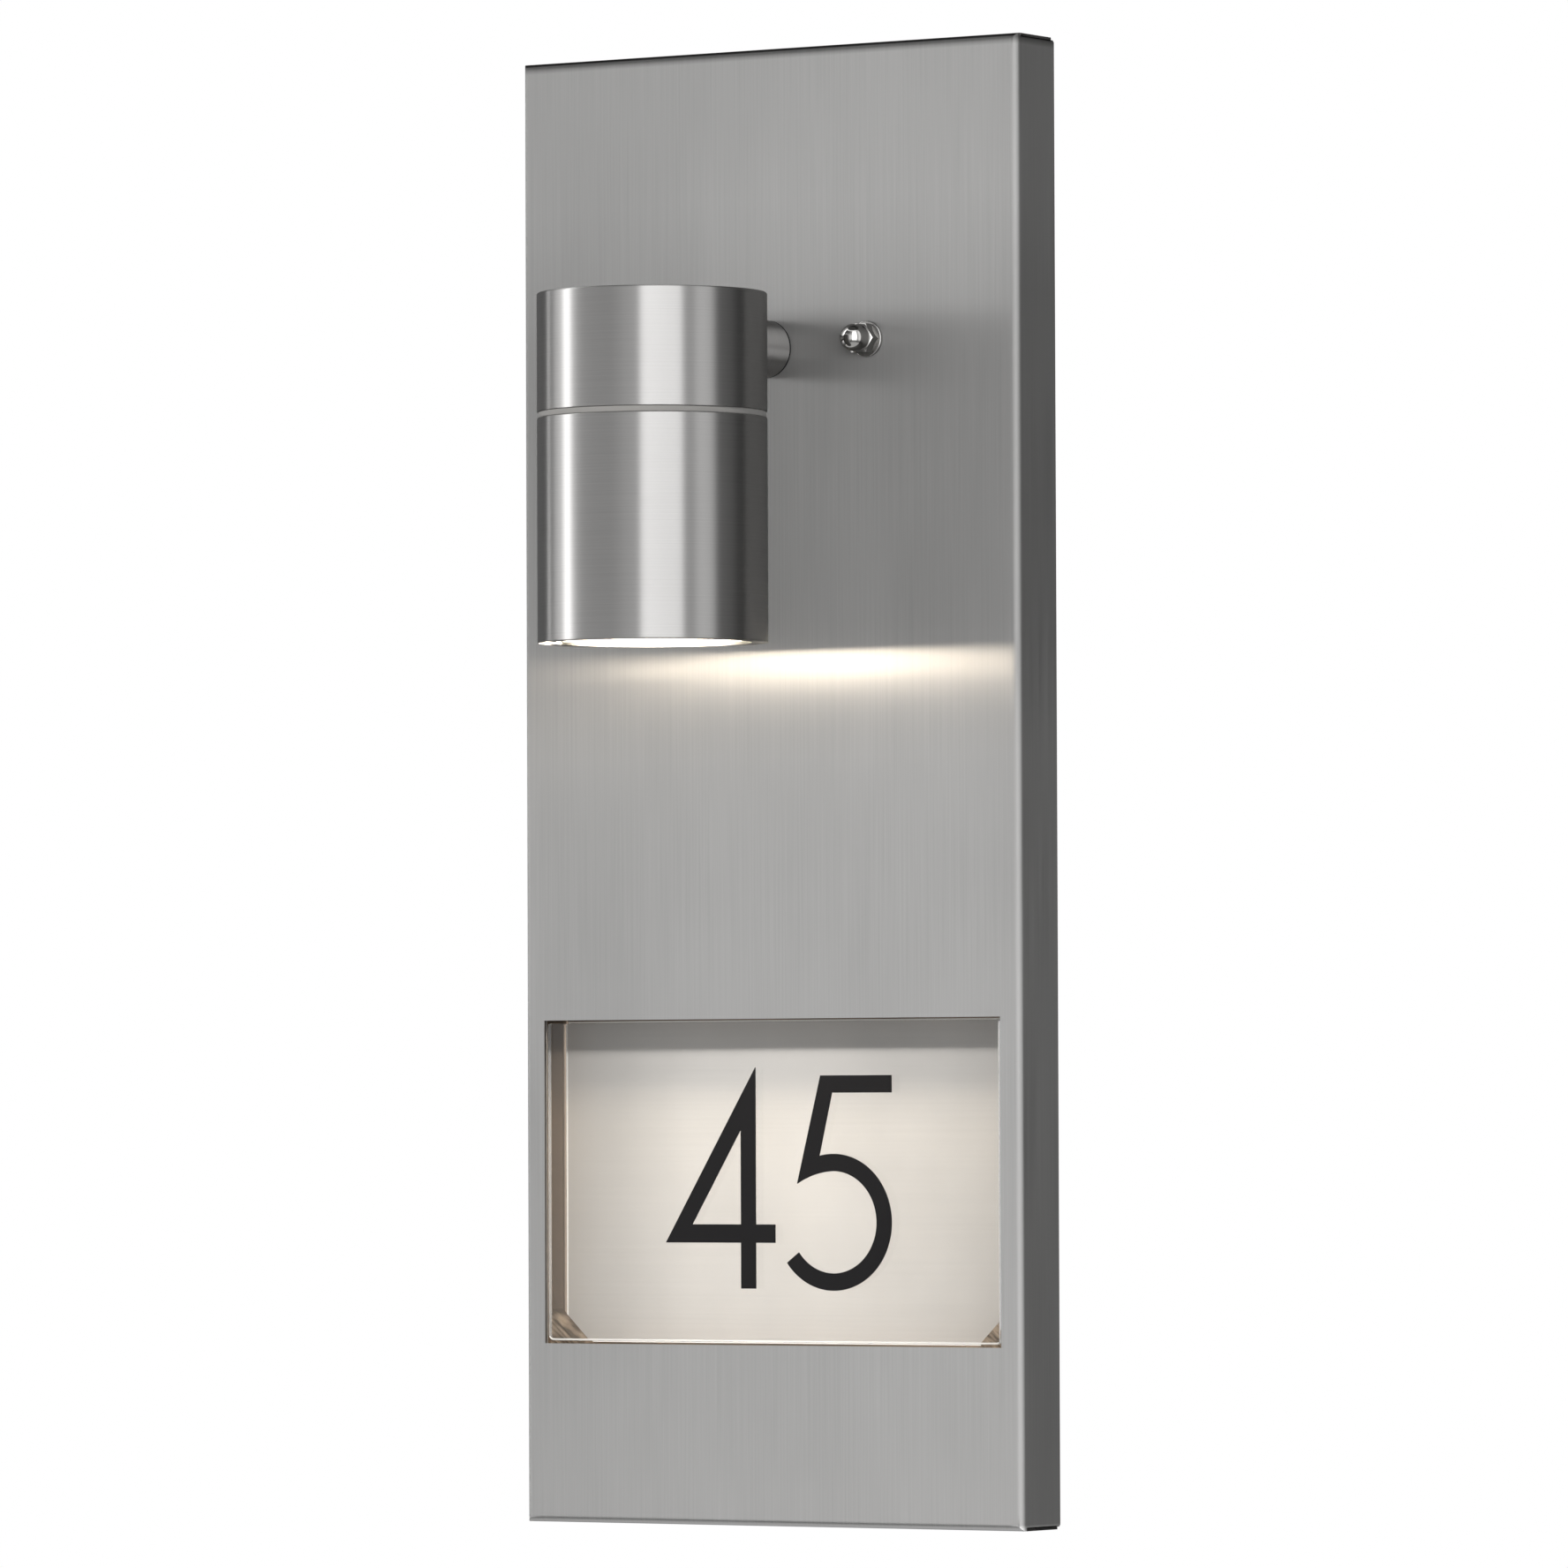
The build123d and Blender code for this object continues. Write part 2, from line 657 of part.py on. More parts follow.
def make_earth_lead():
    start_x = earth_x + earth_barrel_reach + earth_barrel_length
    start_y = bracket_front - earth_barrel_radius
    forward = barrel_y - start_y
    turns = [(0.156, start_y, 0), (0.333, start_y + 0.23 * forward, 1.30),
             (0.622, start_y + 0.26 * forward, 1.65), (0.889, start_y + 0.60 * forward, 1.46)]
    points = lead_to_pole((start_x, start_y, earth_z), turns, pole_xs[0])
    return lead(points, soft_bends(points))


def make_supply_leads():
    half = lead_spread / 2
    room = bracket_front - sleeve_rear
    near, deep, back = [sleeve_rear + share * room for share in (0.65, 0.80, 0.55)]
    neutral = lead_to_pole((-half, sleeve_rear, arm_z),
                           [(0, near, 0), (0.242, deep, 0.533), (0.697, back, 0.822)], pole_xs[1])
    live = lead_to_pole((half, sleeve_rear, arm_z),
                        [(0, near, 0), (0.331, deep, 0.333), (0.766, back, 0.644)], pole_xs[2])
    return [lead(points, soft_bends(points)) for points in (neutral, live)]


# ---------------------------------------------------------------- arm
def make_arm_seal():
    return ring_y(arm_radius, nipple_radius + running_gap, face_front, arm_rear, 0, arm_z)


def make_arm_tube():
    return ring_y(arm_radius, nipple_radius + running_gap, arm_rear, arm_front, 0, arm_z)


def make_nipple():
    return ring_y(nipple_radius, nipple_bore, nipple_rear, nipple_front, 0, arm_z)


def make_rear_washer():
    return ring_y(rear_washer_radius, nipple_radius + thread_gap, face_back,
                  face_back + rear_washer_height, 0, arm_z)


def make_rear_nut():
    near = face_back + rear_washer_height
    far = near + rear_nut_height
    return (hex_y(nipple_nut_flats, far, near, 0, arm_z)
            - rod_y(nipple_radius + thread_gap, near - past, far + past, 0, arm_z))


def make_lead_bush():
    outer = nipple_bore - thread_gap
    bush = rod_y(outer, nipple_rear, nipple_rear - bush_length, 0, arm_z)
    bush += rod_y(bush_flange_radius, nipple_rear, bush_rear, 0, arm_z)
    return bush - rod_y(outer - bush_wall, bush_rear + past, nipple_rear - bush_length - past, 0, arm_z)


def make_lead_sleeve():
    return rod_y(sleeve_radius, sleeve_rear, sleeve_front, 0, arm_z)


# ---------------------------------------------------------------- lamp head
def make_upper_housing():
    body = turned([(0, head_rise), (head_radius - housing_edge, head_rise),
                   (head_radius, head_rise - housing_edge), (head_radius, housing_bottom + tube_edge),
                   (head_radius - tube_edge, housing_bottom), (spigot_radius, housing_bottom),
                   (spigot_radius, spigot_bottom), (spigot_inner, spigot_bottom),
                   (spigot_inner, housing_bottom), (housing_inner, housing_bottom + spigot_wall),
                   (housing_inner, roof_under), (0, roof_under)], head_y)
    body += rod_y(boss_radius, arm_front, boss_front, 0, arm_z)
    body -= rod_y(arm_radius + thread_gap, arm_front, face_front, 0, arm_z)
    body -= rod_y(nipple_radius + thread_gap, face_front, boss_front - past, 0, arm_z)
    for x in strap_screw_xs():
        body += rod_z(strap_boss_radius, roof_under - strap_boss_height, roof_under + past, x, head_y)
    for x in strap_screw_xs():
        body -= rod_z(holder_screw_radius + thread_gap, roof_under - strap_boss_height - past,
                      roof_under - strap_boss_height + strap_screw_length + drill_room, x, head_y)
    return body


def make_head_washer():
    return ring_y(boss_radius - head_washer_inset, nipple_radius + thread_gap, boss_front,
                  boss_front - head_washer_height, 0, arm_z)


def make_head_nut():
    near = boss_front - head_washer_height
    far = near - head_nut_height
    return (hex_y(nipple_nut_flats, near, far, 0, arm_z)
            - rod_y(nipple_radius + thread_gap, near + past, far - past, 0, arm_z))


def make_joint_gasket():
    return ring_z(head_radius - gasket_inset, spigot_radius + gasket_gap, tube_top, housing_bottom,
                  0, head_y)


def make_lower_tube():
    return turned([(lip_radius, tube_bottom), (head_radius - tube_edge, tube_bottom),
                   (head_radius, tube_bottom + tube_edge), (head_radius, tube_top - tube_edge),
                   (head_radius - tube_edge, tube_top), (tube_inner + tube_edge, tube_top),
                   (tube_inner, tube_top - tube_edge), (tube_inner, seal_bottom),
                   (lip_radius, seal_bottom)], head_y)


def make_glass_seal():
    return ring_z(tube_inner - loose_gap, lip_radius, seal_bottom, glass_bottom, 0, head_y)


def make_front_glass():
    return rod_z(tube_inner - loose_gap, glass_bottom, glass_top, 0, head_y)


def make_glass_clip():
    outer = tube_inner - 2 * thread_gap
    ring = ring_z(outer, outer - clip_width, glass_top, clip_top, 0, head_y)
    reach = 2 * head_radius
    opening = Polyline((0, 0), (reach, -reach * tan(radians(clip_gap / 2))),
                       (reach, reach * tan(radians(clip_gap / 2))), close=True)
    wedge = extrude(make_face(opening), amount=clip_height + 2 * past)
    return ring - Pos(0, head_y, glass_top - past) * wedge


# ---------------------------------------------------------------- lampholder
def strap_screw_xs():
    return [-strap_boss_pitch / 2, strap_boss_pitch / 2]


def holder_screw_ys():
    return [head_y - holder_screw_pitch / 2, head_y + holder_screw_pitch / 2]


def make_holder_strap():
    half_web = strap_web / 2
    half_depth = strap_depth / 2
    foot_top = strap_foot_under + strap_sheet
    strap = block(-half_web, half_web, head_y - half_depth, head_y + half_depth, holder_top, strap_web_top)
    for side in (-1, 1):
        strap += block(side * half_web, side * (half_web - strap_sheet), head_y - half_depth,
                       head_y + half_depth, holder_top, foot_top)
        strap += block(side * (half_web - strap_sheet), side * (half_web + strap_foot),
                       head_y - half_depth, head_y + half_depth, strap_foot_under, foot_top)
    strap -= block(-strap_lead_width / 2, strap_lead_width / 2, head_y - strap_lead_depth / 2,
                   head_y + strap_lead_depth / 2, holder_top - past, strap_web_top + past)
    for x in strap_screw_xs():
        strap -= rod_z(holder_screw_radius + thread_gap, strap_foot_under - past, foot_top + past, x, head_y)
    for y in holder_screw_ys():
        strap -= rod_z(holder_screw_radius + thread_gap, holder_top - past, strap_web_top + past, 0, y)
    return strap


def make_strap_screws():
    foot_top = strap_foot_under + strap_sheet
    return [rod_z(holder_screw_radius, strap_foot_under, foot_top + strap_screw_length, x, head_y)
            + rod_z(holder_screw_head_radius, strap_foot_under - holder_screw_head_height,
                    strap_foot_under, x, head_y)
            for x in strap_screw_xs()]


def make_holder_screws():
    return [rod_z(holder_screw_radius, strap_web_top - holder_screw_length, strap_web_top, 0, y)
            + rod_z(holder_screw_head_radius, strap_web_top, strap_web_top + holder_screw_head_height, 0, y)
            for y in holder_screw_ys()]


def make_lampholder():
    body = rod_z(holder_radius, lamp_base, holder_top, 0, head_y)
    neck = pin_neck_radius + pin_clearance
    head = pin_head_radius + pin_clearance
    shoulder = lamp_base + pin_neck_height
    ceiling = shoulder + pin_head_height + 2 * pin_clearance
    for locked in (0, 180):
        track = CenterArc((0, 0), pin_pitch / 2, locked - lamp_twist, lamp_twist)
        neck_slot = extrude(SlotArc(track, 2 * neck), amount=pin_neck_height + past)
        head_slot = extrude(SlotArc(track, 2 * head), amount=ceiling - shoulder)
        body -= Pos(0, head_y, lamp_base - past) * neck_slot
        body -= Pos(0, head_y, shoulder) * head_slot
        free = radians(locked - lamp_twist)
        body -= rod_z(head, lamp_base - past, ceiling, pin_pitch / 2 * cos(free),
                      head_y + pin_pitch / 2 * sin(free))
    for y in holder_screw_ys():
        body -= rod_z(holder_screw_radius + thread_gap, strap_web_top - holder_screw_length - drill_room,
                      holder_top + past, 0, y)
    return body


def make_socket_leads():
    """The lampholder's two leads, bent from the sleeve's mouth down to the holder's top."""
    half = lead_spread / 2
    leads = []
    for side in (-1, 1):
        over_pin = side * pin_pitch / 2
        points = [(side * half, sleeve_front, arm_z), (side * half, sleeve_front - lead_straight, arm_z),
                  (over_pin, head_y, arm_z - lead_dip), (over_pin, head_y, holder_top)]
        leads.append(lead(points, [soft_bends(points)[0], lead_bend]))
    return leads


# ---------------------------------------------------------------- lamp
def make_lamp_body():
    ledge = lamp_front + lens_recess + lens_thickness
    mouth = lamp_radius - lamp_wall
    return turned([(mouth, lamp_front), (lamp_radius, lamp_front),
                   (lamp_radius, lamp_front + lamp_rim_height),
                   (lamp_neck_radius, lamp_base - lamp_neck_height),
                   (lamp_neck_radius, lamp_base), (0, lamp_base), (0, lamp_base - lamp_back_height),
                   (lamp_neck_radius - lamp_wall, lamp_base - lamp_neck_height),
                   (mouth - lamp_wall / 2, lamp_front + lamp_rim_height),
                   (mouth - lamp_wall / 2, ledge), (mouth, ledge)], head_y)


def make_lamp_lens():
    near = lamp_front + lens_recess
    return rod_z(lamp_radius - lamp_wall - thread_gap, near, near + lens_thickness, 0, head_y)


def make_lamp_pins():
    def pin(x):
        shoulder = lamp_base + pin_neck_height
        return (rod_z(pin_neck_radius, lamp_base, shoulder, x, head_y)
                + rod_z(pin_head_radius, shoulder, shoulder + pin_head_height, x, head_y))

    return both_sides(pin, pin_pitch)


# ---------------------------------------------------------------- all nodes
NODES = {
    "face_cover": make_face_cover,
    "number_pane": make_number_pane,
    "number_pan": make_number_pan,
    "pan_studs": make_pan_studs,
    "pan_nuts": make_pan_nuts,
    "pane_pads": make_pane_pads,
    "digit_4": make_digit_4,
    "digit_5": make_digit_5,
    "wall_bracket": make_wall_bracket,
    "wall_studs": make_wall_studs,
    "stud_washers": make_stud_washers,
    "cap_nuts": make_cap_nuts,
    "cable_bush": make_cable_bush,
    "terminal_block": make_terminal_block,
    "terminal_barrels": make_terminal_barrels,
    "clamp_screws": make_clamp_screws,
    "block_screws": make_block_screws,
    "earth_ring": make_earth_ring,
    "earth_screw": make_earth_screw,
    "earth_lead": make_earth_lead,
    "supply_leads": make_supply_leads,
    "arm_seal": make_arm_seal,
    "arm_tube": make_arm_tube,
    "nipple": make_nipple,
    "rear_washer": make_rear_washer,
    "rear_nut": make_rear_nut,
    "lead_bush": make_lead_bush,
    "lead_sleeve": make_lead_sleeve,
    "upper_housing": make_upper_housing,
    "head_washer": make_head_washer,
    "head_nut": make_head_nut,
    "joint_gasket": make_joint_gasket,
    "lower_tube": make_lower_tube,
    "glass_seal": make_glass_seal,
    "front_glass": make_front_glass,
    "glass_clip": make_glass_clip,
    "holder_strap": make_holder_strap,
    "strap_screws": make_strap_screws,
    "holder_screws": make_holder_screws,
    "lampholder": make_lampholder,
    "socket_leads": make_socket_leads,
    "lamp_body": make_lamp_body,
    "lamp_lens": make_lamp_lens,
    "lamp_pins": make_lamp_pins,
}

os.makedirs("parts", exist_ok=True)
for node_name, make in NODES.items():
    save(node_name, make())
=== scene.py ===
import bpy
import bmesh
import json
import numpy as np
from math import cos, pi, radians, sin
from mathutils import Matrix, Vector

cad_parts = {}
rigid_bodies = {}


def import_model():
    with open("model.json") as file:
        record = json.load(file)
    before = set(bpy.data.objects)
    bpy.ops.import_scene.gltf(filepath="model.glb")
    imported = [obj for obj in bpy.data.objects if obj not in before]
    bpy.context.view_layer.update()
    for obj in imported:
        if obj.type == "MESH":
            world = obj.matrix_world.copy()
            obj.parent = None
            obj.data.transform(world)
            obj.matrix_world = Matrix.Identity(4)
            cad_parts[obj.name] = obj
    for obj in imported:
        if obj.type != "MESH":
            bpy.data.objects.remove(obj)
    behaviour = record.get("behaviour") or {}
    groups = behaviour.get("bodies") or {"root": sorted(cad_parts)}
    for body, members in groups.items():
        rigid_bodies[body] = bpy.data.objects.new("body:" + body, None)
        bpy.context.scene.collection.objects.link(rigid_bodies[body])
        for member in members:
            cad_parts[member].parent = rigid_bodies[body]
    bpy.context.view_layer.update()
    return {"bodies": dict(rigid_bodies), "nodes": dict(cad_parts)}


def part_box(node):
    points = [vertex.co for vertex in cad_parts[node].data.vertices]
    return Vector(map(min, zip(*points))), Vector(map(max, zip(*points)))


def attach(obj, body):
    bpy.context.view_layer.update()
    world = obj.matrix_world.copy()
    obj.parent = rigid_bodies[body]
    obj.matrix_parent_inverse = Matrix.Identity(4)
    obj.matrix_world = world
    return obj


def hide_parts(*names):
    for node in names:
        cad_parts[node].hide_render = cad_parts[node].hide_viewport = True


# Illuminated house number sign: a folded steel cover with a lit number window, and a lamp head on a short arm.
# Metres, +X to the viewer's right, +Z up, the face looks along -Y, and the wall is the plane y = 0.

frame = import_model()
nodes = frame["nodes"]
mm = 0.001


# ---------------------------------------------------------------- sizes, repeated from the solids
cover_low, cover_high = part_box("face_cover")
pan_low, pan_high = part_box("number_pan")
pane_low, pane_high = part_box("number_pane")
housing_low, housing_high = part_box("upper_housing")
tube_low, tube_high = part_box("lower_tube")
gasket_low, gasket_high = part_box("joint_gasket")
arm_low, arm_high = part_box("arm_tube")
nut_low, nut_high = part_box("cap_nuts")
washer_low, washer_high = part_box("stud_washers")

sheet = 1.0 * mm
fold = 2.0 * mm
half_width = cover_high.x
face_y = cover_low.y
window_side = 75.0 * mm
window_low = cover_low.z + 50.0 * mm
window_high = window_low + 90.5 * mm
head_y = (tube_low.y + tube_high.y) / 2
head_r = tube_high.x
arm_z = (arm_low.z + arm_high.z) / 2
stud_x = 33.0 * mm
axis_r = 1e-6    # radius of a profile's end on its own axis


# ---------------------------------------------------------------- mesh makers
def patch(points, uv):
    """A grid of points, rows by columns by three, with a UV for each point: one quad between every four neighbours."""
    rows, cols = points.shape[:2]
    i, j = np.meshgrid(np.arange(rows - 1), np.arange(cols - 1), indexing="ij")
    corner = i * cols + j
    quads = np.stack([corner, corner + 1, corner + cols + 1, corner + cols], -1).reshape(-1, 4)
    return points.reshape(-1, 3), quads, uv.reshape(-1, 2)


def piece(name, patches, body, materials, stands_for=(), sharp=32):
    """Joins patches, each with its material's number, into one mesh with welded seams and outward faces."""
    points, quads, uvs, slots, base = [], [], [], [], 0
    for (p, q, uv), slot in patches:
        points.append(p)
        quads.append(q + base)
        uvs.append(uv[q.ravel()])
        slots.append(np.full(len(q), slot))
        base += len(p)
    points, quads, uvs, slots = (np.concatenate(a) for a in (points, quads, uvs, slots))
    mesh = bpy.data.meshes.new(name)
    mesh.vertices.add(len(points))
    mesh.loops.add(quads.size)
    mesh.polygons.add(len(quads))
    mesh.vertices.foreach_set("co", points.astype(np.float32).ravel())
    mesh.loops.foreach_set("vertex_index", quads.astype(np.int32).ravel())
    mesh.polygons.foreach_set("loop_start", np.arange(0, quads.size, 4, dtype=np.int32))
    mesh.polygons.foreach_set("material_index", slots.astype(np.int32))
    layer = mesh.uv_layers.new(name="grain")
    mesh.update(calc_edges=True)
    layer.data.foreach_set("uv", uvs.astype(np.float32).ravel())
    work = bmesh.new()
    work.from_mesh(mesh)
    bmesh.ops.remove_doubles(work, verts=work.verts, dist=2e-6)
    bmesh.ops.dissolve_degenerate(work, edges=work.edges, dist=1e-7)
    bmesh.ops.recalc_face_normals(work, faces=work.faces)
    work.to_mesh(mesh)
    work.free()
    mesh.polygons.foreach_set("use_smooth", np.ones(len(mesh.polygons), bool))
    mesh.set_sharp_from_angle(angle=radians(sharp))
    for m in materials:
        mesh.materials.append(m)
    made = bpy.data.objects.new(name, mesh)
    bpy.context.scene.collection.objects.link(made)
    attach(made, body)
    if stands_for:
        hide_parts(*stands_for)
    return made


def thicken(made, thickness, rim_slot, back_slot=0, sharp=32):
    """Gives an open skin its sheet thickness on the side away from its normals and bakes that into the mesh. The
    slots count on from the skin's own: one for the cut rim and one for the back."""
    wall = made.modifiers.new("wall", "SOLIDIFY")
    wall.thickness = thickness
    wall.offset = -1
    wall.use_even_offset = True
    wall.material_offset_rim = rim_slot
    wall.material_offset = back_slot
    baked = bpy.data.meshes.new_from_object(made.evaluated_get(bpy.context.evaluated_depsgraph_get()))
    made.modifiers.clear()
    made.data = baked
    baked.polygons.foreach_set("use_smooth", np.ones(len(baked.polygons), bool))
    baked.set_sharp_from_angle(angle=radians(sharp))
    return made


def eased(points, ease=0.12 * mm):
    """A profile with a point added just inside both ends of each long run, so that shading turns only at edges."""
    kept = [points[0]]
    for a, b in zip(points, points[1:]):
        a, b = np.array(a, float), np.array(b, float)
        length = np.linalg.norm(b - a)
        if length > 5 * ease:
            kept += [a + (b - a) * ease / length, b - (b - a) * ease / length]
        kept.append(b)
    return np.array([np.array(p, float) for p in kept])


def corner(x, y, radius, start, end, steps=6):
    """Points of a round corner about (x, y), from one angle to another, in degrees."""
    a = np.radians(np.linspace(start, end, steps))
    return [(x + radius * cos(t), y + radius * sin(t)) for t in a]


def turned(profile, centre, axis="z", turns=256):
    """A surface of revolution: each (radius, height) point of the profile goes round the axis through the centre.

    The UV runs with the profile first and round the axis second, so that u crosses the turning marks."""
    profile = np.asarray(profile, float)
    angle = np.radians(np.linspace(0, 360, turns + 1))
    r, h = profile[:, 0, None], profile[:, 1, None] + 0 * angle
    x, y = r * np.cos(angle), r * np.sin(angle)
    if axis == "z":
        points = np.stack([centre[0] + x, centre[1] + y, h], -1)
    else:
        points = np.stack([centre[0] + x, h, centre[1] + y], -1)
    run = np.concatenate([[0], np.cumsum(np.linalg.norm(np.diff(profile, axis=0), axis=1))])
    around = angle * profile[:, 0].max()
    uv = np.stack(np.broadcast_arrays(run[:, None], around[None, :]), -1)
    return patch(points, uv)


def lines(*marks, step=8 * mm):
    """Grid lines through all the marks, with the gaps between them divided evenly."""
    marks = sorted(marks)
    found = [np.array([marks[0]])]
    for a, b in zip(marks, marks[1:]):
        found.append(np.linspace(a, b, max(1, int(round((b - a) / step))) + 1)[1:])
    return np.concatenate(found)


def tray_side(side, xs, zs, out, y, run, reach, grain):
    """One side of a folded tray. The profile (out, y) is carried along that side of the core rectangle, and its two
    ends stretch by reach, which makes the mitre at a fold and the open seam at a flange."""
    along = xs if side in ("top", "bottom") else zs
    a = np.repeat(along[None, :], len(out), 0)
    a[:, 0] -= reach
    a[:, -1] += reach
    sign = 1 if side in ("top", "right") else -1
    edge = {"top": zs[-1], "bottom": zs[0], "right": xs[-1], "left": xs[0]}[side]
    across = edge + sign * np.repeat(out[:, None], len(along), 1)
    flat = edge + sign * np.repeat(run[:, None], len(along), 1)
    depth = np.repeat(y[:, None], len(along), 1)
    if side in ("top", "bottom"):
        points, uv = np.stack([a, depth, across], -1), np.stack([a, flat], -1)
    else:
        points, uv = np.stack([across, depth, a], -1), np.stack([flat, a], -1)
    return patch(points, uv if grain == "upright" else uv[..., ::-1])


def tray_panel(xs, zs, y, hole, grain):
    """The flat panel of a tray as a grid of its lines, without the cells inside the hole."""
    x, z = np.meshgrid(xs, zs, indexing="ij")
    points = np.stack([x, np.full_like(x, y), z], -1)
    uv = np.stack([x, z], -1)
    p, quads, flat = patch(points, uv if grain == "upright" else uv[..., ::-1])
    if hole:
        middle = p[quads].mean(1)
        x0, x1, z0, z1 = hole
        inside = (middle[:, 0] > x0) & (middle[:, 0] < x1) & (middle[:, 2] > z0) & (middle[:, 2] < z1)
        quads = quads[~inside]
    return p, quads, flat


def bend(radius, y_panel, direction, steps=9):
    """Profile of a quarter bend that leaves the panel outwards and turns to the given direction along Y."""
    a = np.linspace(0, pi / 2, steps)
    return radius * np.sin(a), y_panel + direction * radius * (1 - np.cos(a)), radius * a


# ---------------------------------------------------------------- material makers
def new_material(name):
    made = bpy.data.materials.new(name)
    made.use_nodes = True
    tree = made.node_tree
    return made, tree, tree.nodes["Principled BSDF"]


def link(tree, a, b):
    tree.links.new(a, b)


def coordinates(tree, kind, scale, turn=(0, 0, 0), kept="POINT"):
    """Object or UV coordinates through a Mapping node, as the vector for a texture. Kept as a TEXTURE it is turned
    before it is scaled."""
    if kind == "UV":
        source = tree.nodes.new("ShaderNodeUVMap")
        source.uv_map = "grain"
        out = source.outputs["UV"]
    else:
        out = tree.nodes.new("ShaderNodeTexCoord").outputs["Object"]
    mapping = tree.nodes.new("ShaderNodeMapping")
    mapping.vector_type = kept
    mapping.inputs["Scale"].default_value = scale
    mapping.inputs["Rotation"].default_value = turn
    link(tree, out, mapping.inputs["Vector"])
    return mapping.outputs["Vector"]


def noise(tree, vector, detail=3.0, scale=1.0, roughness=0.55):
    tex = tree.nodes.new("ShaderNodeTexNoise")
    tex.inputs["Scale"].default_value = scale
    tex.inputs["Detail"].default_value = detail
    tex.inputs["Roughness"].default_value = roughness
    link(tree, vector, tex.inputs["Vector"])
    return tex.outputs["Fac"]


def spread(tree, value, low, high, start=0.3, stop=0.7):
    """Maps a texture's middle range onto low to high."""
    node = tree.nodes.new("ShaderNodeMapRange")
    node.inputs["From Min"].default_value = start
    node.inputs["From Max"].default_value = stop
    node.inputs["To Min"].default_value = low
    node.inputs["To Max"].default_value = high
    link(tree, value, node.inputs["Value"])
    return node.outputs["Result"]


def object_place(tree):
    """Outputs X, Y and Z of the object coordinates, in metres."""
    place = tree.nodes.new("ShaderNodeSeparateXYZ")
    link(tree, tree.nodes.new("ShaderNodeTexCoord").outputs["Object"], place.inputs["Vector"])
    return place.outputs


def combined(tree, operation, a, b):
    node = tree.nodes.new("ShaderNodeMath")
    node.operation = operation
    link(tree, a, node.inputs[0])
    link(tree, b, node.inputs[1])
    return node.outputs[0]


def multiply(tree, a, b):
    return combined(tree, "MULTIPLY", a, b)


def tinted(tree, colour, factor):
    """The colour made lighter and darker by a factor about 1."""
    node = tree.nodes.new("ShaderNodeVectorMath")
    node.operation = "SCALE"
    node.inputs[0].default_value = colour
    link(tree, factor, node.inputs["Scale"])
    return node.outputs[0]


def bumped(tree, shader, height, distance, strength=1.0):
    node = tree.nodes.new("ShaderNodeBump")
    node.inputs["Distance"].default_value = distance
    node.inputs["Strength"].default_value = strength
    link(tree, height, node.inputs["Height"])
    link(tree, node.outputs["Normal"], shader.inputs["Normal"])


def cover_painted_shading(tree):
    """The cover's painted light and shade, as a product of ramps on its tone. Each ramp is the tone at its start and
    end, and where it starts and ends: painted shade on the left side against the middle, a painted dark reflection of
    the lamp head at its height against above and below it, painted shade on the flanges against the face, and painted
    shade on the top fold and a painted highlight on the bottom fold against the face."""
    place = object_place(tree)
    away = tree.nodes.new("ShaderNodeMath")
    away.operation = "ABSOLUTE"
    link(tree, place["X"], away.inputs[0])
    top, foot = cover_high.z, cover_low.z
    left_side = spread(tree, place["X"], 0.88, 1.0, -half_width, 0.0)
    above_head = spread(tree, place["Z"], 1.0, 1.11, 0.012, 0.04)
    below_head = spread(tree, place["Z"], 1.14, 0.96, -0.115, -0.085)
    flanges = spread(tree, away.outputs[0], 1.0, 0.62, half_width - 0.2 * mm, half_width)
    top_fold = spread(tree, place["Z"], 1.06, 0.4, top - 3.0 * mm, top - 1.1 * mm)
    bottom_fold = spread(tree, place["Z"], 2.2, 1.0, foot + 0.4 * mm, foot + 1.7 * mm)
    factor = left_side
    for ramp in (above_head, below_head, flanges, top_fold, bottom_fold):
        factor = multiply(tree, factor, ramp)
    return factor


def brushed(name, colour, roughness, stretch=1.0, across=1500.0, along=14.0, contrast=0.05, cloud=0.05,
            scratch=1.2e-6, metal=1.0, dull=False, side_shade=1.0):
    """Brushed steel. The polish lines run along v and the gloss is stretched across them, along u. A fine noise drawn
    out along v gives the lines, and a broad one the faint stains. Dull paints the cover's light and shade into its
    tone. The last argument is painted shade: the tone that it falls to toward the left and right edges of the window."""
    made, tree, shader = new_material(name)
    fine = noise(tree, coordinates(tree, "UV", (across, along, along)), detail=4)
    broad = noise(tree, coordinates(tree, "Object", (22, 22, 9)), detail=3)
    factor = multiply(tree, spread(tree, fine, 1 - contrast, 1 + contrast), spread(tree, broad, 1 - cloud, 1 + cloud))
    # Painted light and shade on the cover: darker left side, flanges and top fold, a darker band at the head's height,
    # and a bright bottom fold.
    if dull:
        factor = multiply(tree, factor, cover_painted_shading(tree))
    # Painted shade: the tone falls toward the left and right edges of the window.
    if side_shade < 1:
        x = object_place(tree)["X"]
        factor = multiply(tree, factor, spread(tree, multiply(tree, x, x), 1.0, side_shade, 0.0, window_side ** 2))
    link(tree, tinted(tree, colour, factor), shader.inputs["Base Color"])
    link(tree, spread(tree, fine, roughness * 0.94, roughness * 1.06), shader.inputs["Roughness"])
    shader.inputs["Metallic"].default_value = metal
    shader.inputs["Anisotropic"].default_value = stretch
    tangent = tree.nodes.new("ShaderNodeTangent")
    tangent.direction_type = "UV_MAP"
    tangent.uv_map = "grain"
    link(tree, tangent.outputs["Tangent"], shader.inputs["Tangent"])
    bumped(tree, shader, fine, scratch)
    return made


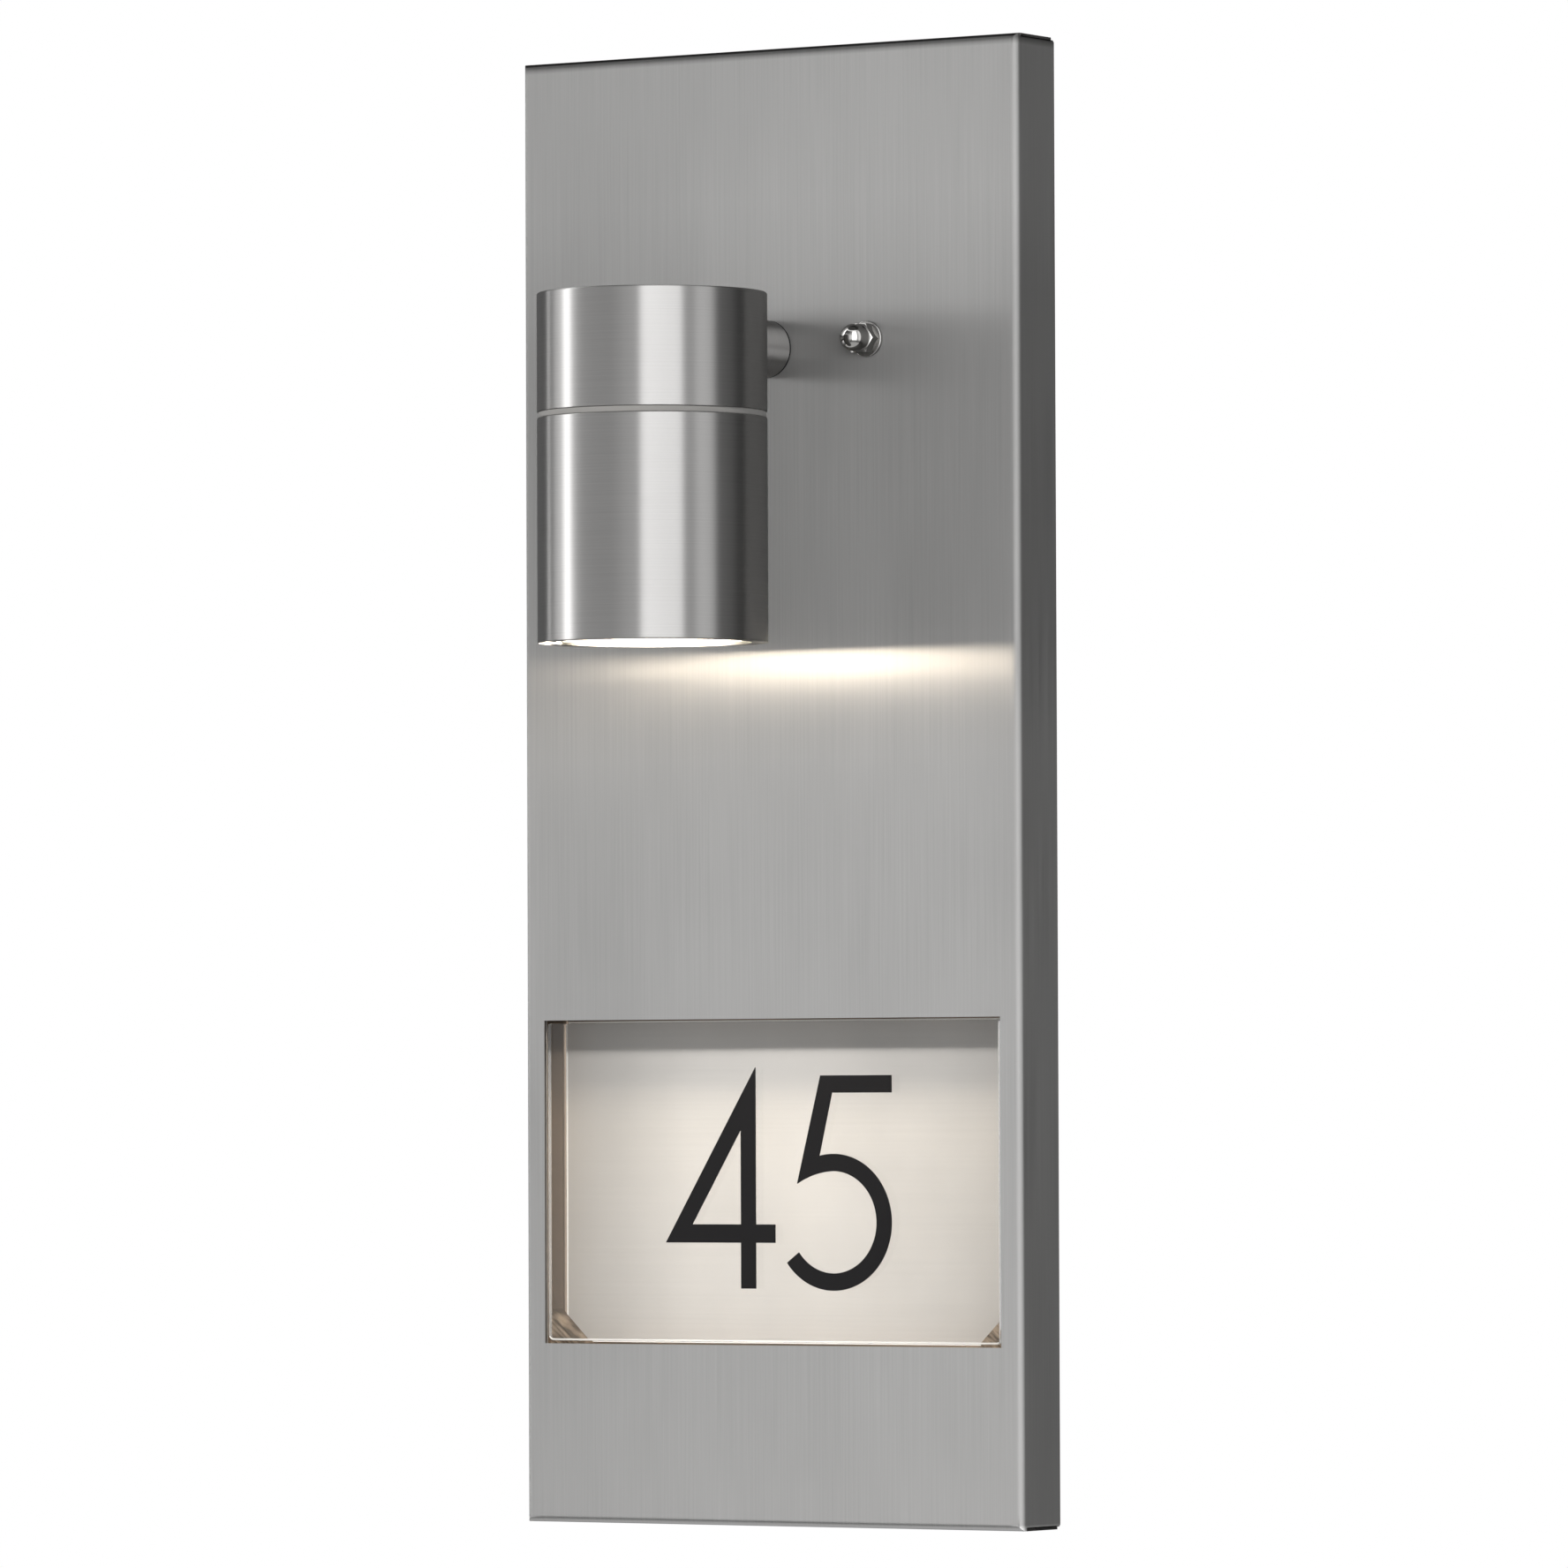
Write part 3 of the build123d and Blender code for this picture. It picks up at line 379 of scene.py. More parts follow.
def plain_metal(name, colour, roughness, grain=500.0, contrast=0.06, bump=2e-6, metal=1.0):
    """Cast, plated or polished metal with a fine even grain and faint handling marks."""
    made, tree, shader = new_material(name)
    fine = noise(tree, coordinates(tree, "Object", (grain,) * 3), detail=4)
    broad = noise(tree, coordinates(tree, "Object", (70,) * 3), detail=2)
    factor = multiply(tree, spread(tree, fine, 1 - contrast, 1 + contrast), spread(tree, broad, 0.95, 1.04))
    link(tree, tinted(tree, colour, factor), shader.inputs["Base Color"])
    link(tree, spread(tree, broad, roughness * 0.8, roughness * 1.25), shader.inputs["Roughness"])
    shader.inputs["Metallic"].default_value = metal
    bumped(tree, shader, fine, bump)
    return made


def moulded(name, colour, roughness, grain=900.0, bump=4e-6, contrast=0.04, specular=0.5):
    """Moulded plastic, rubber or ceramic: a fine skin texture and a slight unevenness of tone."""
    made, tree, shader = new_material(name)
    fine = noise(tree, coordinates(tree, "Object", (grain,) * 3), detail=3)
    broad = noise(tree, coordinates(tree, "Object", (60,) * 3), detail=2)
    link(tree, tinted(tree, colour, spread(tree, broad, 1 - contrast, 1 + contrast)), shader.inputs["Base Color"])
    link(tree, spread(tree, fine, roughness * 0.9, roughness * 1.1), shader.inputs["Roughness"])
    shader.inputs["Specular IOR Level"].default_value = specular
    bumped(tree, shader, fine, bump)
    return made


def clear(name, colour, roughness, ior, haze=0.0, painted_streaks=0.0):
    """Clear acrylic, silicone or glass. Shadow and bounced rays go straight through, so what lies behind is lit as
    what lies in front of it. The streaks are painted lines of reflected light that run down to the right."""
    made, tree, shader = new_material(name)
    marks = noise(tree, coordinates(tree, "Object", (140,) * 3), detail=3)
    tone = spread(tree, marks, 0.99, 1.0)
    if painted_streaks:
        vector = coordinates(tree, "Object", (6 * mm, 6 * mm, 0.9 * mm), (0, radians(40), 0), "TEXTURE")
        tone = spread(tree, noise(tree, vector, detail=2), 1 - painted_streaks, 1 + painted_streaks, 0.4, 0.7)
    link(tree, tinted(tree, colour, tone), shader.inputs["Base Color"])
    link(tree, spread(tree, marks, roughness, roughness + 0.012), shader.inputs["Roughness"])
    shader.inputs["IOR"].default_value = ior
    shader.inputs["Transmission Weight"].default_value = 1.0 - haze
    path = tree.nodes.new("ShaderNodeLightPath")
    bounced = combined(tree, "MAXIMUM", path.outputs["Is Diffuse Ray"], path.outputs["Is Glossy Ray"])
    bounced = combined(tree, "SUBTRACT", bounced, path.outputs["Is Transmission Ray"])
    straight = combined(tree, "MAXIMUM", path.outputs["Is Shadow Ray"], bounced)
    through = tree.nodes.new("ShaderNodeBsdfTransparent")
    through.inputs["Color"].default_value = (0.965, 0.965, 0.96, 1)
    mix = tree.nodes.new("ShaderNodeMixShader")
    link(tree, straight, mix.inputs["Fac"])
    link(tree, shader.outputs["BSDF"], mix.inputs[1])
    link(tree, through.outputs["BSDF"], mix.inputs[2])
    link(tree, mix.outputs["Shader"], tree.nodes["Material Output"].inputs["Surface"])
    return made


# The cover's tone has painted shade and highlights in it, through dull=True.
cover_steel = brushed("cover_brushed_upright", (0.405, 0.402, 0.397), 0.39, stretch=0.96, across=1900, along=16,
                      dull=True)
head_steel = brushed("head_turned_and_brushed", (0.66, 0.652, 0.643), 0.38, across=2600, along=22)
arm_steel = brushed("arm_turned", (0.60, 0.59, 0.58), 0.36, across=2600, along=40)
# The pan's tone has painted shade toward the left and right ends of the window.
pan_satin = brushed("pan_satin", (0.70, 0.68, 0.665), 0.55, stretch=0.5, across=1500, along=12, contrast=0.02,
                    metal=0.15, side_shade=0.77)
# Painted highlight: a bright tone for the light line along each bend next to the panel.
bend_highlight = brushed("bend_painted_highlight", (0.96, 0.95, 0.93), 0.5, stretch=0.3, across=1500, along=12, contrast=0.02,
                   metal=0.1)
# Painted shade and reflection: a dark brown tone for the recess walls in shade, reflecting the warm back panel.
recess_wall_shade = brushed("recess_wall_painted_shade", (0.29, 0.23, 0.18), 0.35, stretch=0.5, across=1500, along=12, contrast=0.04)
mill_steel = brushed("mill_finish", (0.62, 0.615, 0.61), 0.5, stretch=0.4, across=900, along=20, cloud=0.08,
                     metal=0.4)
cut_edge = plain_metal("cut_sheet_edge", (0.70, 0.69, 0.68), 0.34, grain=900)
# A dark tone for the cover's cut rim.
dark_rim_metal = plain_metal("dark_cut_rim", (0.20, 0.195, 0.19), 0.45, grain=900)
bright_steel = plain_metal("polished_fastener", (0.74, 0.73, 0.71), 0.09, grain=1200, contrast=0.03, bump=8e-7)
washer_steel = plain_metal("blanked_washer", (0.70, 0.69, 0.675), 0.22, grain=900, contrast=0.04, bump=1e-6)
zinc = plain_metal("zinc_plate", (0.60, 0.62, 0.64), 0.38, grain=350, contrast=0.10, metal=0.45)
brass = plain_metal("turned_brass", (0.80, 0.62, 0.30), 0.28)
tinned = plain_metal("tinned_copper", (0.74, 0.71, 0.67), 0.30)
acrylic = clear("clear_acrylic", (0.985, 0.99, 0.985), 0.0, 1.49)
acrylic_edge = clear("acrylic_edge_flamed", (0.96, 0.96, 0.94), 0.12, 1.49, haze=0.8)
# The pads' dark brown tone is painted shade and reflection, and their streaks are painted reflected light.
silicone = clear("clear_silicone", (0.30, 0.24, 0.185), 0.3, 1.06, haze=0.72, painted_streaks=0.6)
lamp_glass = clear("lamp_glass", (0.98, 0.99, 0.98), 0.0, 1.52)
vinyl = moulded("black_cut_vinyl", (0.010, 0.010, 0.011), 0.5, grain=1500, bump=1.5e-6, specular=0.12)
white_plastic = moulded("white_moulding", (0.83, 0.82, 0.79), 0.42)
lamp_white = moulded("lamp_moulding", (0.86, 0.86, 0.84), 0.30)
ceramic = moulded("lampholder_ceramic", (0.88, 0.86, 0.81), 0.62, grain=1500, bump=6e-6)
black_rubber = moulded("black_rubber", (0.022, 0.022, 0.023), 0.72, grain=1400, bump=8e-6)
pale_gasket = moulded("pale_silicone", (0.50, 0.495, 0.485), 0.55, grain=1200, bump=5e-6, specular=0.3)
brown_lead = moulded("brown_insulation", (0.24, 0.12, 0.07), 0.45, grain=600)
green_lead = moulded("green_insulation", (0.18, 0.42, 0.07), 0.45, grain=600)
woven = moulded("woven_sleeve", (0.80, 0.76, 0.64), 0.80, grain=2400, bump=2.5e-5, contrast=0.08)


def lit_lens():
    """The lamp's lit lens: warm light, with rings of fine facets that vary its brightness."""
    made, tree, shader = new_material("lit_lens")
    rings = tree.nodes.new("ShaderNodeTexWave")
    rings.wave_type = "RINGS"
    rings.rings_direction = "Z"
    rings.inputs["Scale"].default_value = 1.0
    ring_scale = 130
    centre = tree.nodes.new("ShaderNodeMapping")
    centre.inputs["Location"].default_value = (0, -head_y * ring_scale, 0)
    centre.inputs["Scale"].default_value = (ring_scale,) * 3
    link(tree, tree.nodes.new("ShaderNodeTexCoord").outputs["Object"], centre.inputs["Vector"])
    link(tree, centre.outputs["Vector"], rings.inputs["Vector"])
    link(tree, tinted(tree, (1.0, 0.86, 0.66), spread(tree, rings.outputs["Fac"], 0.7, 1.0, 0, 1)),
         shader.inputs["Emission Color"])
    shader.inputs["Base Color"].default_value = (0.9, 0.88, 0.82, 1)
    shader.inputs["Emission Strength"].default_value = 6.0
    bumped(tree, shader, rings.outputs["Fac"], 0.0003)
    return made


lens = lit_lens()

for node, made in {
    "number_pane": acrylic, "pan_studs": bright_steel, "pan_nuts": bright_steel, "pane_pads": silicone,
    "digit_4": vinyl, "digit_5": vinyl, "wall_bracket": zinc, "wall_studs": bright_steel,
    "stud_washers": bright_steel, "cap_nuts": bright_steel, "cable_bush": black_rubber,
    "terminal_block": white_plastic, "terminal_barrels": brass, "clamp_screws": zinc, "block_screws": zinc,
    "earth_ring": tinned, "earth_screw": brass, "earth_lead": green_lead, "supply_leads": brown_lead,
    "arm_seal": black_rubber, "nipple": zinc, "rear_washer": zinc, "rear_nut": zinc,
    "lead_bush": white_plastic, "lead_sleeve": woven, "head_washer": zinc, "head_nut": zinc,
    "joint_gasket": pale_gasket, "glass_seal": pale_gasket, "front_glass": lamp_glass, "glass_clip": bright_steel,
    "holder_strap": zinc, "strap_screws": zinc, "holder_screws": zinc, "lampholder": ceramic,
    "socket_leads": brown_lead, "lamp_body": lamp_white, "lamp_lens": lens, "lamp_pins": tinned,
    "face_cover": cut_edge, "number_pan": cut_edge, "upper_housing": cut_edge, "lower_tube": cut_edge,
    "arm_tube": cut_edge,
}.items():
    nodes[node].data.materials.clear()
    nodes[node].data.materials.append(made)


# ---------------------------------------------------------------- face cover, a folded sheet
def make_cover():
    """Flat panel, quarter bends with mitred corners, and flanges. Each flange stops short of the next at an open
    seam; the side flanges reach the wall and have their rear corners clipped."""
    core_x = half_width - fold
    low, high = cover_low.z + fold, cover_high.z - fold
    ease = 0.4 * mm
    inner = 2.6 * mm
    xs = lines(-core_x, -core_x + inner, -window_side - ease, -window_side, window_side, window_side + ease,
               core_x - inner, core_x)
    zs = lines(low, low + inner, window_low - ease, window_low, window_high, window_high + ease,
               high - inner, high)
    hole = (-window_side, window_side, window_low, window_high)
    out, y, run = bend(fold, face_y, 1)
    patches = [(tray_panel(xs, zs, face_y, hole, "upright"), 0)]
    seam, clip, setback = 0.7 * mm, 0.6 * mm, 1.6 * mm
    start = face_y + fold
    past_bend = 0.02 * mm
    for side in ("top", "bottom", "left", "right"):
        patches.append((tray_side(side, xs, zs, out, y, run, out, "upright"), 0))
        if side in ("top", "bottom"):
            depth = lines(start, start + ease, -setback - ease, -setback, step=5 * mm)
            reach = np.full(len(depth), fold)
        else:
            depth = np.concatenate([[start, start + past_bend], lines(start + ease, -clip, -ease, 0.0, step=5 * mm)])
            reach = fold - seam - np.maximum(0, depth + clip)
            reach[0] = fold
        flange_out = np.full(len(depth), fold)
        flange_run = run[-1] + depth - start
        patches.append((tray_side(side, xs, zs, flange_out, depth, flange_run, reach, "upright"), 0))
    made = piece("cover_sheet", patches, "sign", [cover_steel, dark_rim_metal, mill_steel], ["face_cover"])
    return thicken(made, sheet, 1, 2)


make_cover()


# ---------------------------------------------------------------- number pan, folded the other way
def make_pan():
    """Back panel, quarter bends forward and walls, then flanges turned outwards behind the face. The first rows of
    each bend, next to the panel, carry a painted highlight, and the rest of the bend and the walls a dark brown
    painted shade and reflection.
    """
    wall, radius = 0.8 * mm, 1.2 * mm
    room, front_lap, side_lip, long_lip = 0.5 * mm, 0.01 * mm, 3.4 * mm, 11.6 * mm
    half = window_side + room
    low, high = window_low - room, window_high + room
    panel_y = pan_high.y - wall
    front = pan_low.y
    ease = 0.3 * mm
    xs = lines(-half + radius, -half + radius + ease, half - radius - ease, half - radius)
    zs = lines(low + radius, low + radius + ease, high - radius - ease, high - radius)
    out, y, run = bend(radius, panel_y, -1)
    wall_y = lines(y[-1], y[-1] - ease, front + wall + ease, step=2 * mm)[::-1]
    patches = [(tray_panel(xs, zs, panel_y, None, "level"), 0)]
    for side in ("top", "bottom", "left", "right"):
        patches.append((tray_side(side, xs, zs, out[:3], y[:3], run[:3], out[:3], "level"), 2))
        patches.append((tray_side(side, xs, zs, out[2:], y[2:], run[2:], out[2:], "level"), 3))
        same = np.full(len(wall_y), radius)
        patches.append((tray_side(side, xs, zs, same, wall_y, run[-1] + wall_y[0] - wall_y, same, "level"), 3))
        lip = long_lip if side in ("top", "bottom") else side_lip
        flange_out = np.array([radius, radius + wall, radius + wall + ease, radius + lip])
        flange_y = np.array([wall_y[-1]] + [front + front_lap] * 3)
        flange_run = run[-1] + 9 * mm + flange_out
        reach = np.minimum(flange_out, radius + side_lip)
        patches.append((tray_side(side, xs, zs, flange_out, flange_y, flange_run, reach, "level"), 0))
    made = piece("pan_sheet", patches, "sign", [pan_satin, cut_edge, bend_highlight, recess_wall_shade], ["number_pan"])
    return thicken(made, wall * 0.98, 1)


make_pan()


# ---------------------------------------------------------------- number pane
def make_pane():
    """Clear sheet with flamed edges and a narrow frosted seat along the bottom. Its outline is a rectangle with
    round corners and is drawn in by a small bevel at both faces. The rows run from the middle of the front out over
    the edge to the middle of the back."""
    half, front, back = pane_high.x, pane_low.y, pane_high.y
    bevel, seat_width = 0.15 * mm, 0.6 * mm
    upper_r, left_r, right_r = 0.8 * mm, 1.7 * mm, 0.9 * mm
    arc = 9
    count = 4 * arc + 1
    middle = (pane_low.z + pane_high.z) / 2

    def outline(inset, y):
        points = []
        for side, z, radius, start in ((1, pane_high.z, upper_r, 0), (-1, pane_high.z, upper_r, 90),
                                       (-1, pane_low.z, left_r, 180), (1, pane_low.z, right_r, 270)):
            up = 1 if start < 180 else -1
            points += corner(side * (half - radius), z - up * radius, radius - inset, start, start + 90, arc)
        points = np.array(points + points[:1])
        return np.stack([points[:, 0], np.full(len(points), y), points[:, 1]], -1)

    def hub(y):
        return np.tile([0.0, y, middle], (count, 1))

    rims = [outline(seat_width, front), outline(bevel, front), outline(0, front + bevel), outline(0, back - bevel),
            outline(bevel, back)]
    patches = []
    for rows, columns, slot in (([hub(front), rims[0]], slice(None), 0), (rims[:2], slice(0, 21), 0),
                                (rims[:2], slice(20, 34), 1), (rims[:2], slice(33, count), 0),
                                (rims[1:3], slice(0, 18), 0), (rims[1:3], slice(17, count), 1),
                                (rims[2:], slice(None), 0), ([rims[4], hub(back)], slice(None), 0)):
        grid = np.array(rows)[:, columns]
        patches.append((patch(grid, grid[..., (0, 2)]), slot))
    piece("pane_sheet", patches, "sign", [acrylic, acrylic_edge], ["number_pane"])


make_pane()


# ---------------------------------------------------------------- cap nuts and their washers
def make_cap_nuts():
    """Acorn nuts. Round the axis the hexagon's reach is half the flats over the cosine of the angle from the nearest
    flat's middle, and the chamfer is a cone that cuts its corners in scallops. The dome is a cylinder and a half
    sphere. The washers are flat rings with rounded rims."""
    seat, tip = nut_high.y, nut_low.y
    flats, dome, hex_high, bore = 4.0 * mm, 3.75 * mm, 4.0 * mm, 2.5 * mm
    angle = np.radians(np.linspace(0, 360, 97))
    reach = flats / np.cos((angle % (pi / 3)) - pi / 6)
    round_ = np.ones_like(angle)
    crown = 0.965 * flats
    front = seat - hex_high
    fall = np.tan(radians(32))
    depth = 8 * mm
    rows = [(axis_r * round_, seat - depth * round_), (bore * round_, seat - depth * round_),
            (bore * round_, seat * round_), (crown * round_, seat * round_),
            (reach, seat - (reach - crown) * fall), (reach, front + (reach - crown) * fall),
            (crown * round_, front * round_), ((dome + 0.02 * mm) * round_, (front - 0.02 * mm) * round_)]
    for t in np.radians(np.linspace(0, 90, 13)):
        rows.append((max(dome * cos(t), axis_r) * round_, (tip + dome - dome * sin(t)) * round_))
    r, y = np.array([a for a, b in rows]), np.array([b for a, b in rows])
    run = np.repeat(np.arange(len(rows))[:, None] * mm, len(angle), 1)
    uv = np.stack([run, np.repeat(angle[None, :] * flats, len(rows), 0)], -1)
    nuts = [(patch(np.stack([x + r * np.cos(angle), y, r * np.sin(angle)], -1), uv), 0) for x in (-stud_x, stud_x)]
    piece("cap_nut_pair", nuts, "sign", [bright_steel], ["cap_nuts"], sharp=22)
    low, high, rim, hole, ease = washer_low.y, washer_high.y, 5.0 * mm, 2.75 * mm, 0.3 * mm
    profile = [(hole, high), (hole, low)] + corner(rim - ease, low + ease, ease, -90, 0, 5)
    profile += corner(rim - ease, high - ease, ease, 0, 90, 5) + [(hole, high)]
    washers = [(turned(profile, (x, 0), axis="y", turns=96), 0) for x in (-stud_x, stud_x)]
    piece("washer_pair", washers, "sign", [washer_steel], ["stud_washers"])


make_cap_nuts()


# ---------------------------------------------------------------- lamp head, turned parts
def make_head():
    """Upper housing and lower tube as closed turned profiles with small edge radii, and the arm between."""
    top, bottom = housing_high.z, gasket_high.z
    spigot_out, spigot_in, spigot_end = 29.43 * mm, 27.43 * mm, housing_low.z
    r = head_r
    edge, small, skin = 0.5 * mm, 0.12 * mm, 3 * mm
    profile = [(axis_r, top)] + corner(r - edge, top - edge, edge, 90, 0)
    profile += corner(r - small, bottom + small, small, 0, -90, 4)
    profile += [(spigot_out, bottom), (spigot_out, spigot_end), (spigot_in, spigot_end), (spigot_in, bottom),
                (r - skin, bottom + 2 * mm), (r - skin, top - skin), (axis_r, top - skin)]
    shell = turned(eased(profile), (0, head_y))
    screw_r, post_r, post_x, post_end = 1.5 * mm, 3.5 * mm, 16 * mm, top - 9 * mm
    post = eased([(screw_r, top - skin), (screw_r, post_end), (post_r, post_end), (post_r, top - skin)])
    bosses = [(turned(post, (side * post_x, head_y), turns=48), 1) for side in (-1, 1)]
    hole_r, seat_r, inside = 5.05 * mm, 9 * mm, head_y + r - skin
    raised = inside - 2.5 * mm
    seat = eased([(hole_r, inside), (hole_r, raised), (seat_r, raised), (seat_r, inside)])
    bosses.append((turned(seat, (0, arm_z), axis="y", turns=64), 1))
    piece("housing_shell", [(shell, 0)] + bosses, "head", [head_steel, cut_edge], ["upper_housing"])

    top, bottom = tube_high.z, tube_low.z
    inner, lip, small, tiny, nick, ledge = r - 2 * mm, 27 * mm, 0.3 * mm, 0.15 * mm, 0.1 * mm, bottom + 1 * mm
    profile = [(inner, top - small), (inner + small, top)]
    profile += corner(r - tiny, top - tiny, tiny, 90, 0, 4)
    profile += corner(r - small, bottom + small, small, 0, -90, 4)
    profile += [(lip + nick, bottom), (lip, bottom + nick), (lip, ledge), (inner, ledge), (inner, top - small)]
    piece("tube_shell", [(turned(eased(profile), (0, head_y)), 0)], "tube", [head_steel], ["lower_tube"])

    gap, hole_r, edge = 0.03 * mm, 29.6 * mm, 0.3 * mm
    low, high, r = gasket_low.z + gap, gasket_high.z - gap, gasket_high.x
    profile = [(hole_r, high), (hole_r, low)] + corner(r - edge, low + edge, edge, -90, 0)
    profile += corner(r - edge, high - edge, edge, 0, 90) + [(hole_r, high)]
    piece("gasket_ring", [(turned(profile, (0, head_y)), 0)], "gasket", [pale_gasket], ["joint_gasket"])

    near, far, bore_r, arm_r = arm_low.y, arm_high.y, 5.07 * mm, 8 * mm
    profile = [(bore_r, far), (bore_r, near), (arm_r - nick, near), (arm_r, near + nick), (arm_r, far - tiny),
               (arm_r - tiny, far), (bore_r, far)]
    piece("arm_shell", [(turned(eased(profile), (0, arm_z), axis="y", turns=128), 0)], "head", [arm_steel],
          ["arm_tube"])


make_head()


# ---------------------------------------------------------------- studio
def make_lamp_light():
    """The lit lamp: a warm disc at its lens for the spill, and the small bright points of its facets, which the
    tube's rim cuts off in a sharp line on the cover. Each point is its place across, forward and up from the middle
    of the tube's mouth, in mm, and its power. The last lies outside the tube, where the lamp has nothing: it stands
    for what slips out past the rim on the left, and with the head turned it still shows on the cover."""
    colour = (1.0, 0.87, 0.70)
    disc = bpy.data.lights.new("lamp_spill", "AREA")
    disc.shape = "DISK"
    disc.size = 0.044
    disc.energy = 0.25
    disc.color = colour
    spill = bpy.data.objects.new("lamp_spill", disc)
    spill.location = (0, head_y, -0.0773)
    glows = [spill]
    for across, forward, rise, energy in ((-25, 4, 0.4, 0.015), (-16, 18, 0.4, 0.012), (14, 18, 0.4, 0.018),
                                          (24, 0, 0.6, 0.0165), (-50, -23, -3.2, 0.004)):
        point = bpy.data.lights.new("lamp_core", "POINT")
        point.energy = energy
        point.color = colour
        point.shadow_soft_size = 0.8 * mm
        core = bpy.data.objects.new("lamp_core", point)
        core.location = (across * mm, head_y - forward * mm, tube_low.z + rise * mm)
        glows.append(core)
    for made in glows:
        made.visible_camera = False
        bpy.context.scene.collection.objects.link(made)
        made.parent = frame["bodies"]["lamp"]


def make_world():
    """A room with soft panels round the sign. Azimuth 0 is straight in front of the face and grows to the right.
    The camera, and what is seen through glass, meet plain white, dull surfaces an even grey, and a reflection of a
    reflection a dimmer room."""
    world = bpy.data.worlds.new("studio")
    bpy.context.scene.world = world
    world.use_nodes = True
    world.cycles.sampling_method = "NONE"
    tree = world.node_tree
    background = tree.nodes["Background"]
    direction = tree.nodes.new("ShaderNodeSeparateXYZ")
    link(tree, tree.nodes.new("ShaderNodeTexCoord").outputs["Generated"], direction.inputs["Vector"])

    def math(operation, a, b=None, c=None):
        node = tree.nodes.new("ShaderNodeMath")
        node.operation = operation
        for socket, value in zip(node.inputs, (a, b, c)):
            if value is None:
                continue
            if isinstance(value, (int, float)):
                socket.default_value = value
            else:
                link(tree, value, socket)
        return node.outputs[0]

    x, y, z = direction.outputs
    azimuth = math("MULTIPLY", math("ARCTAN2", x, math("MULTIPLY", y, -1.0)), 180 / pi)
    height = math("MULTIPLY", math("ARCSINE", z), 180 / pi)

    def panel(centre, half, soft, brightness):
        """A soft-edged upright band of light about one azimuth."""
        away = math("SUBTRACT", 180.0, math("ABSOLUTE", math("SUBTRACT", math("ABSOLUTE", math(
            "SUBTRACT", azimuth, centre)), 180.0)))
        step = tree.nodes.new("ShaderNodeMapRange")
        step.interpolation_type = "SMOOTHSTEP"
        step.inputs["From Min"].default_value = half + soft
        step.inputs["From Max"].default_value = half - soft
        link(tree, away, step.inputs["Value"])
        return math("MULTIPLY", step.outputs["Result"], brightness)

    def belt(full, none, middle=0.0):
        """One up to the first angle above or below the middle elevation, and falling to nothing at the second."""
        step = tree.nodes.new("ShaderNodeMapRange")
        step.interpolation_type = "SMOOTHSTEP"
        step.inputs["From Min"].default_value = none
        step.inputs["From Max"].default_value = full
        link(tree, math("ABSOLUTE", math("SUBTRACT", height, middle)), step.inputs["Value"])
        return step.outputs["Result"]

    panels = 0.0
    for centre, half, soft, brightness in ((-125, 25, 8, 0.08), (-95, 2.2, 1.2, 1.35), (-71, 13.5, 3.5, 0.68),
                                           (-63, 5, 2.5, 2.10), (-8, 34, 10, 0.05), (10, 10, 12, 0.20),
                                           (42.5, 21.5, 2, 1.62), (81, 20, 3, 0.42), (88, 10, 3, 0.40),
                                           (112, 14, 8, 0.10)):
        panels = math("ADD", panels, panel(centre, half, soft, brightness))
    room = math("ADD", math("MULTIPLY", panels, belt(26, 50, 12)), 0.05)
    room = math("ADD", room, math("MULTIPLY", panel(0, 80, 20, 0.9), belt(2, 5, 54)))
    room = math("ADD", room, math("MULTIPLY", panel(-20, 56, 22, 0.47), belt(9, 34)))
    room = math("ADD", room, math("MULTIPLY", 0.36, belt(20, 36, -70)))
    path = tree.nodes.new("ShaderNodeLightPath")
    again = math("MINIMUM", math("MAXIMUM", math("SUBTRACT", path.outputs["Glossy Depth"], 1.0), 0.0), 1.0)
    room = math("MULTIPLY", room, math("SUBTRACT", 1.0, math("MULTIPLY", again, 0.65)))
    dull = tree.nodes.new("ShaderNodeMix")
    dull.data_type = "FLOAT"
    link(tree, path.outputs["Is Diffuse Ray"], dull.inputs["Factor"])
    link(tree, room, dull.inputs["A"])
    dull.inputs["B"].default_value = 0.25
    room = dull.outputs["Result"]
    plain = math("MINIMUM", math("ADD", path.outputs["Is Camera Ray"], path.outputs["Is Transmission Ray"]), 1.0)
    mix = tree.nodes.new("ShaderNodeMix")
    mix.data_type = "FLOAT"
    link(tree, plain, mix.inputs["Factor"])
    link(tree, room, mix.inputs["A"])
    mix.inputs["B"].default_value = 1.0
    link(tree, mix.outputs["Result"], background.inputs["Strength"])
    background.inputs["Color"].default_value = (1, 1, 1, 1)


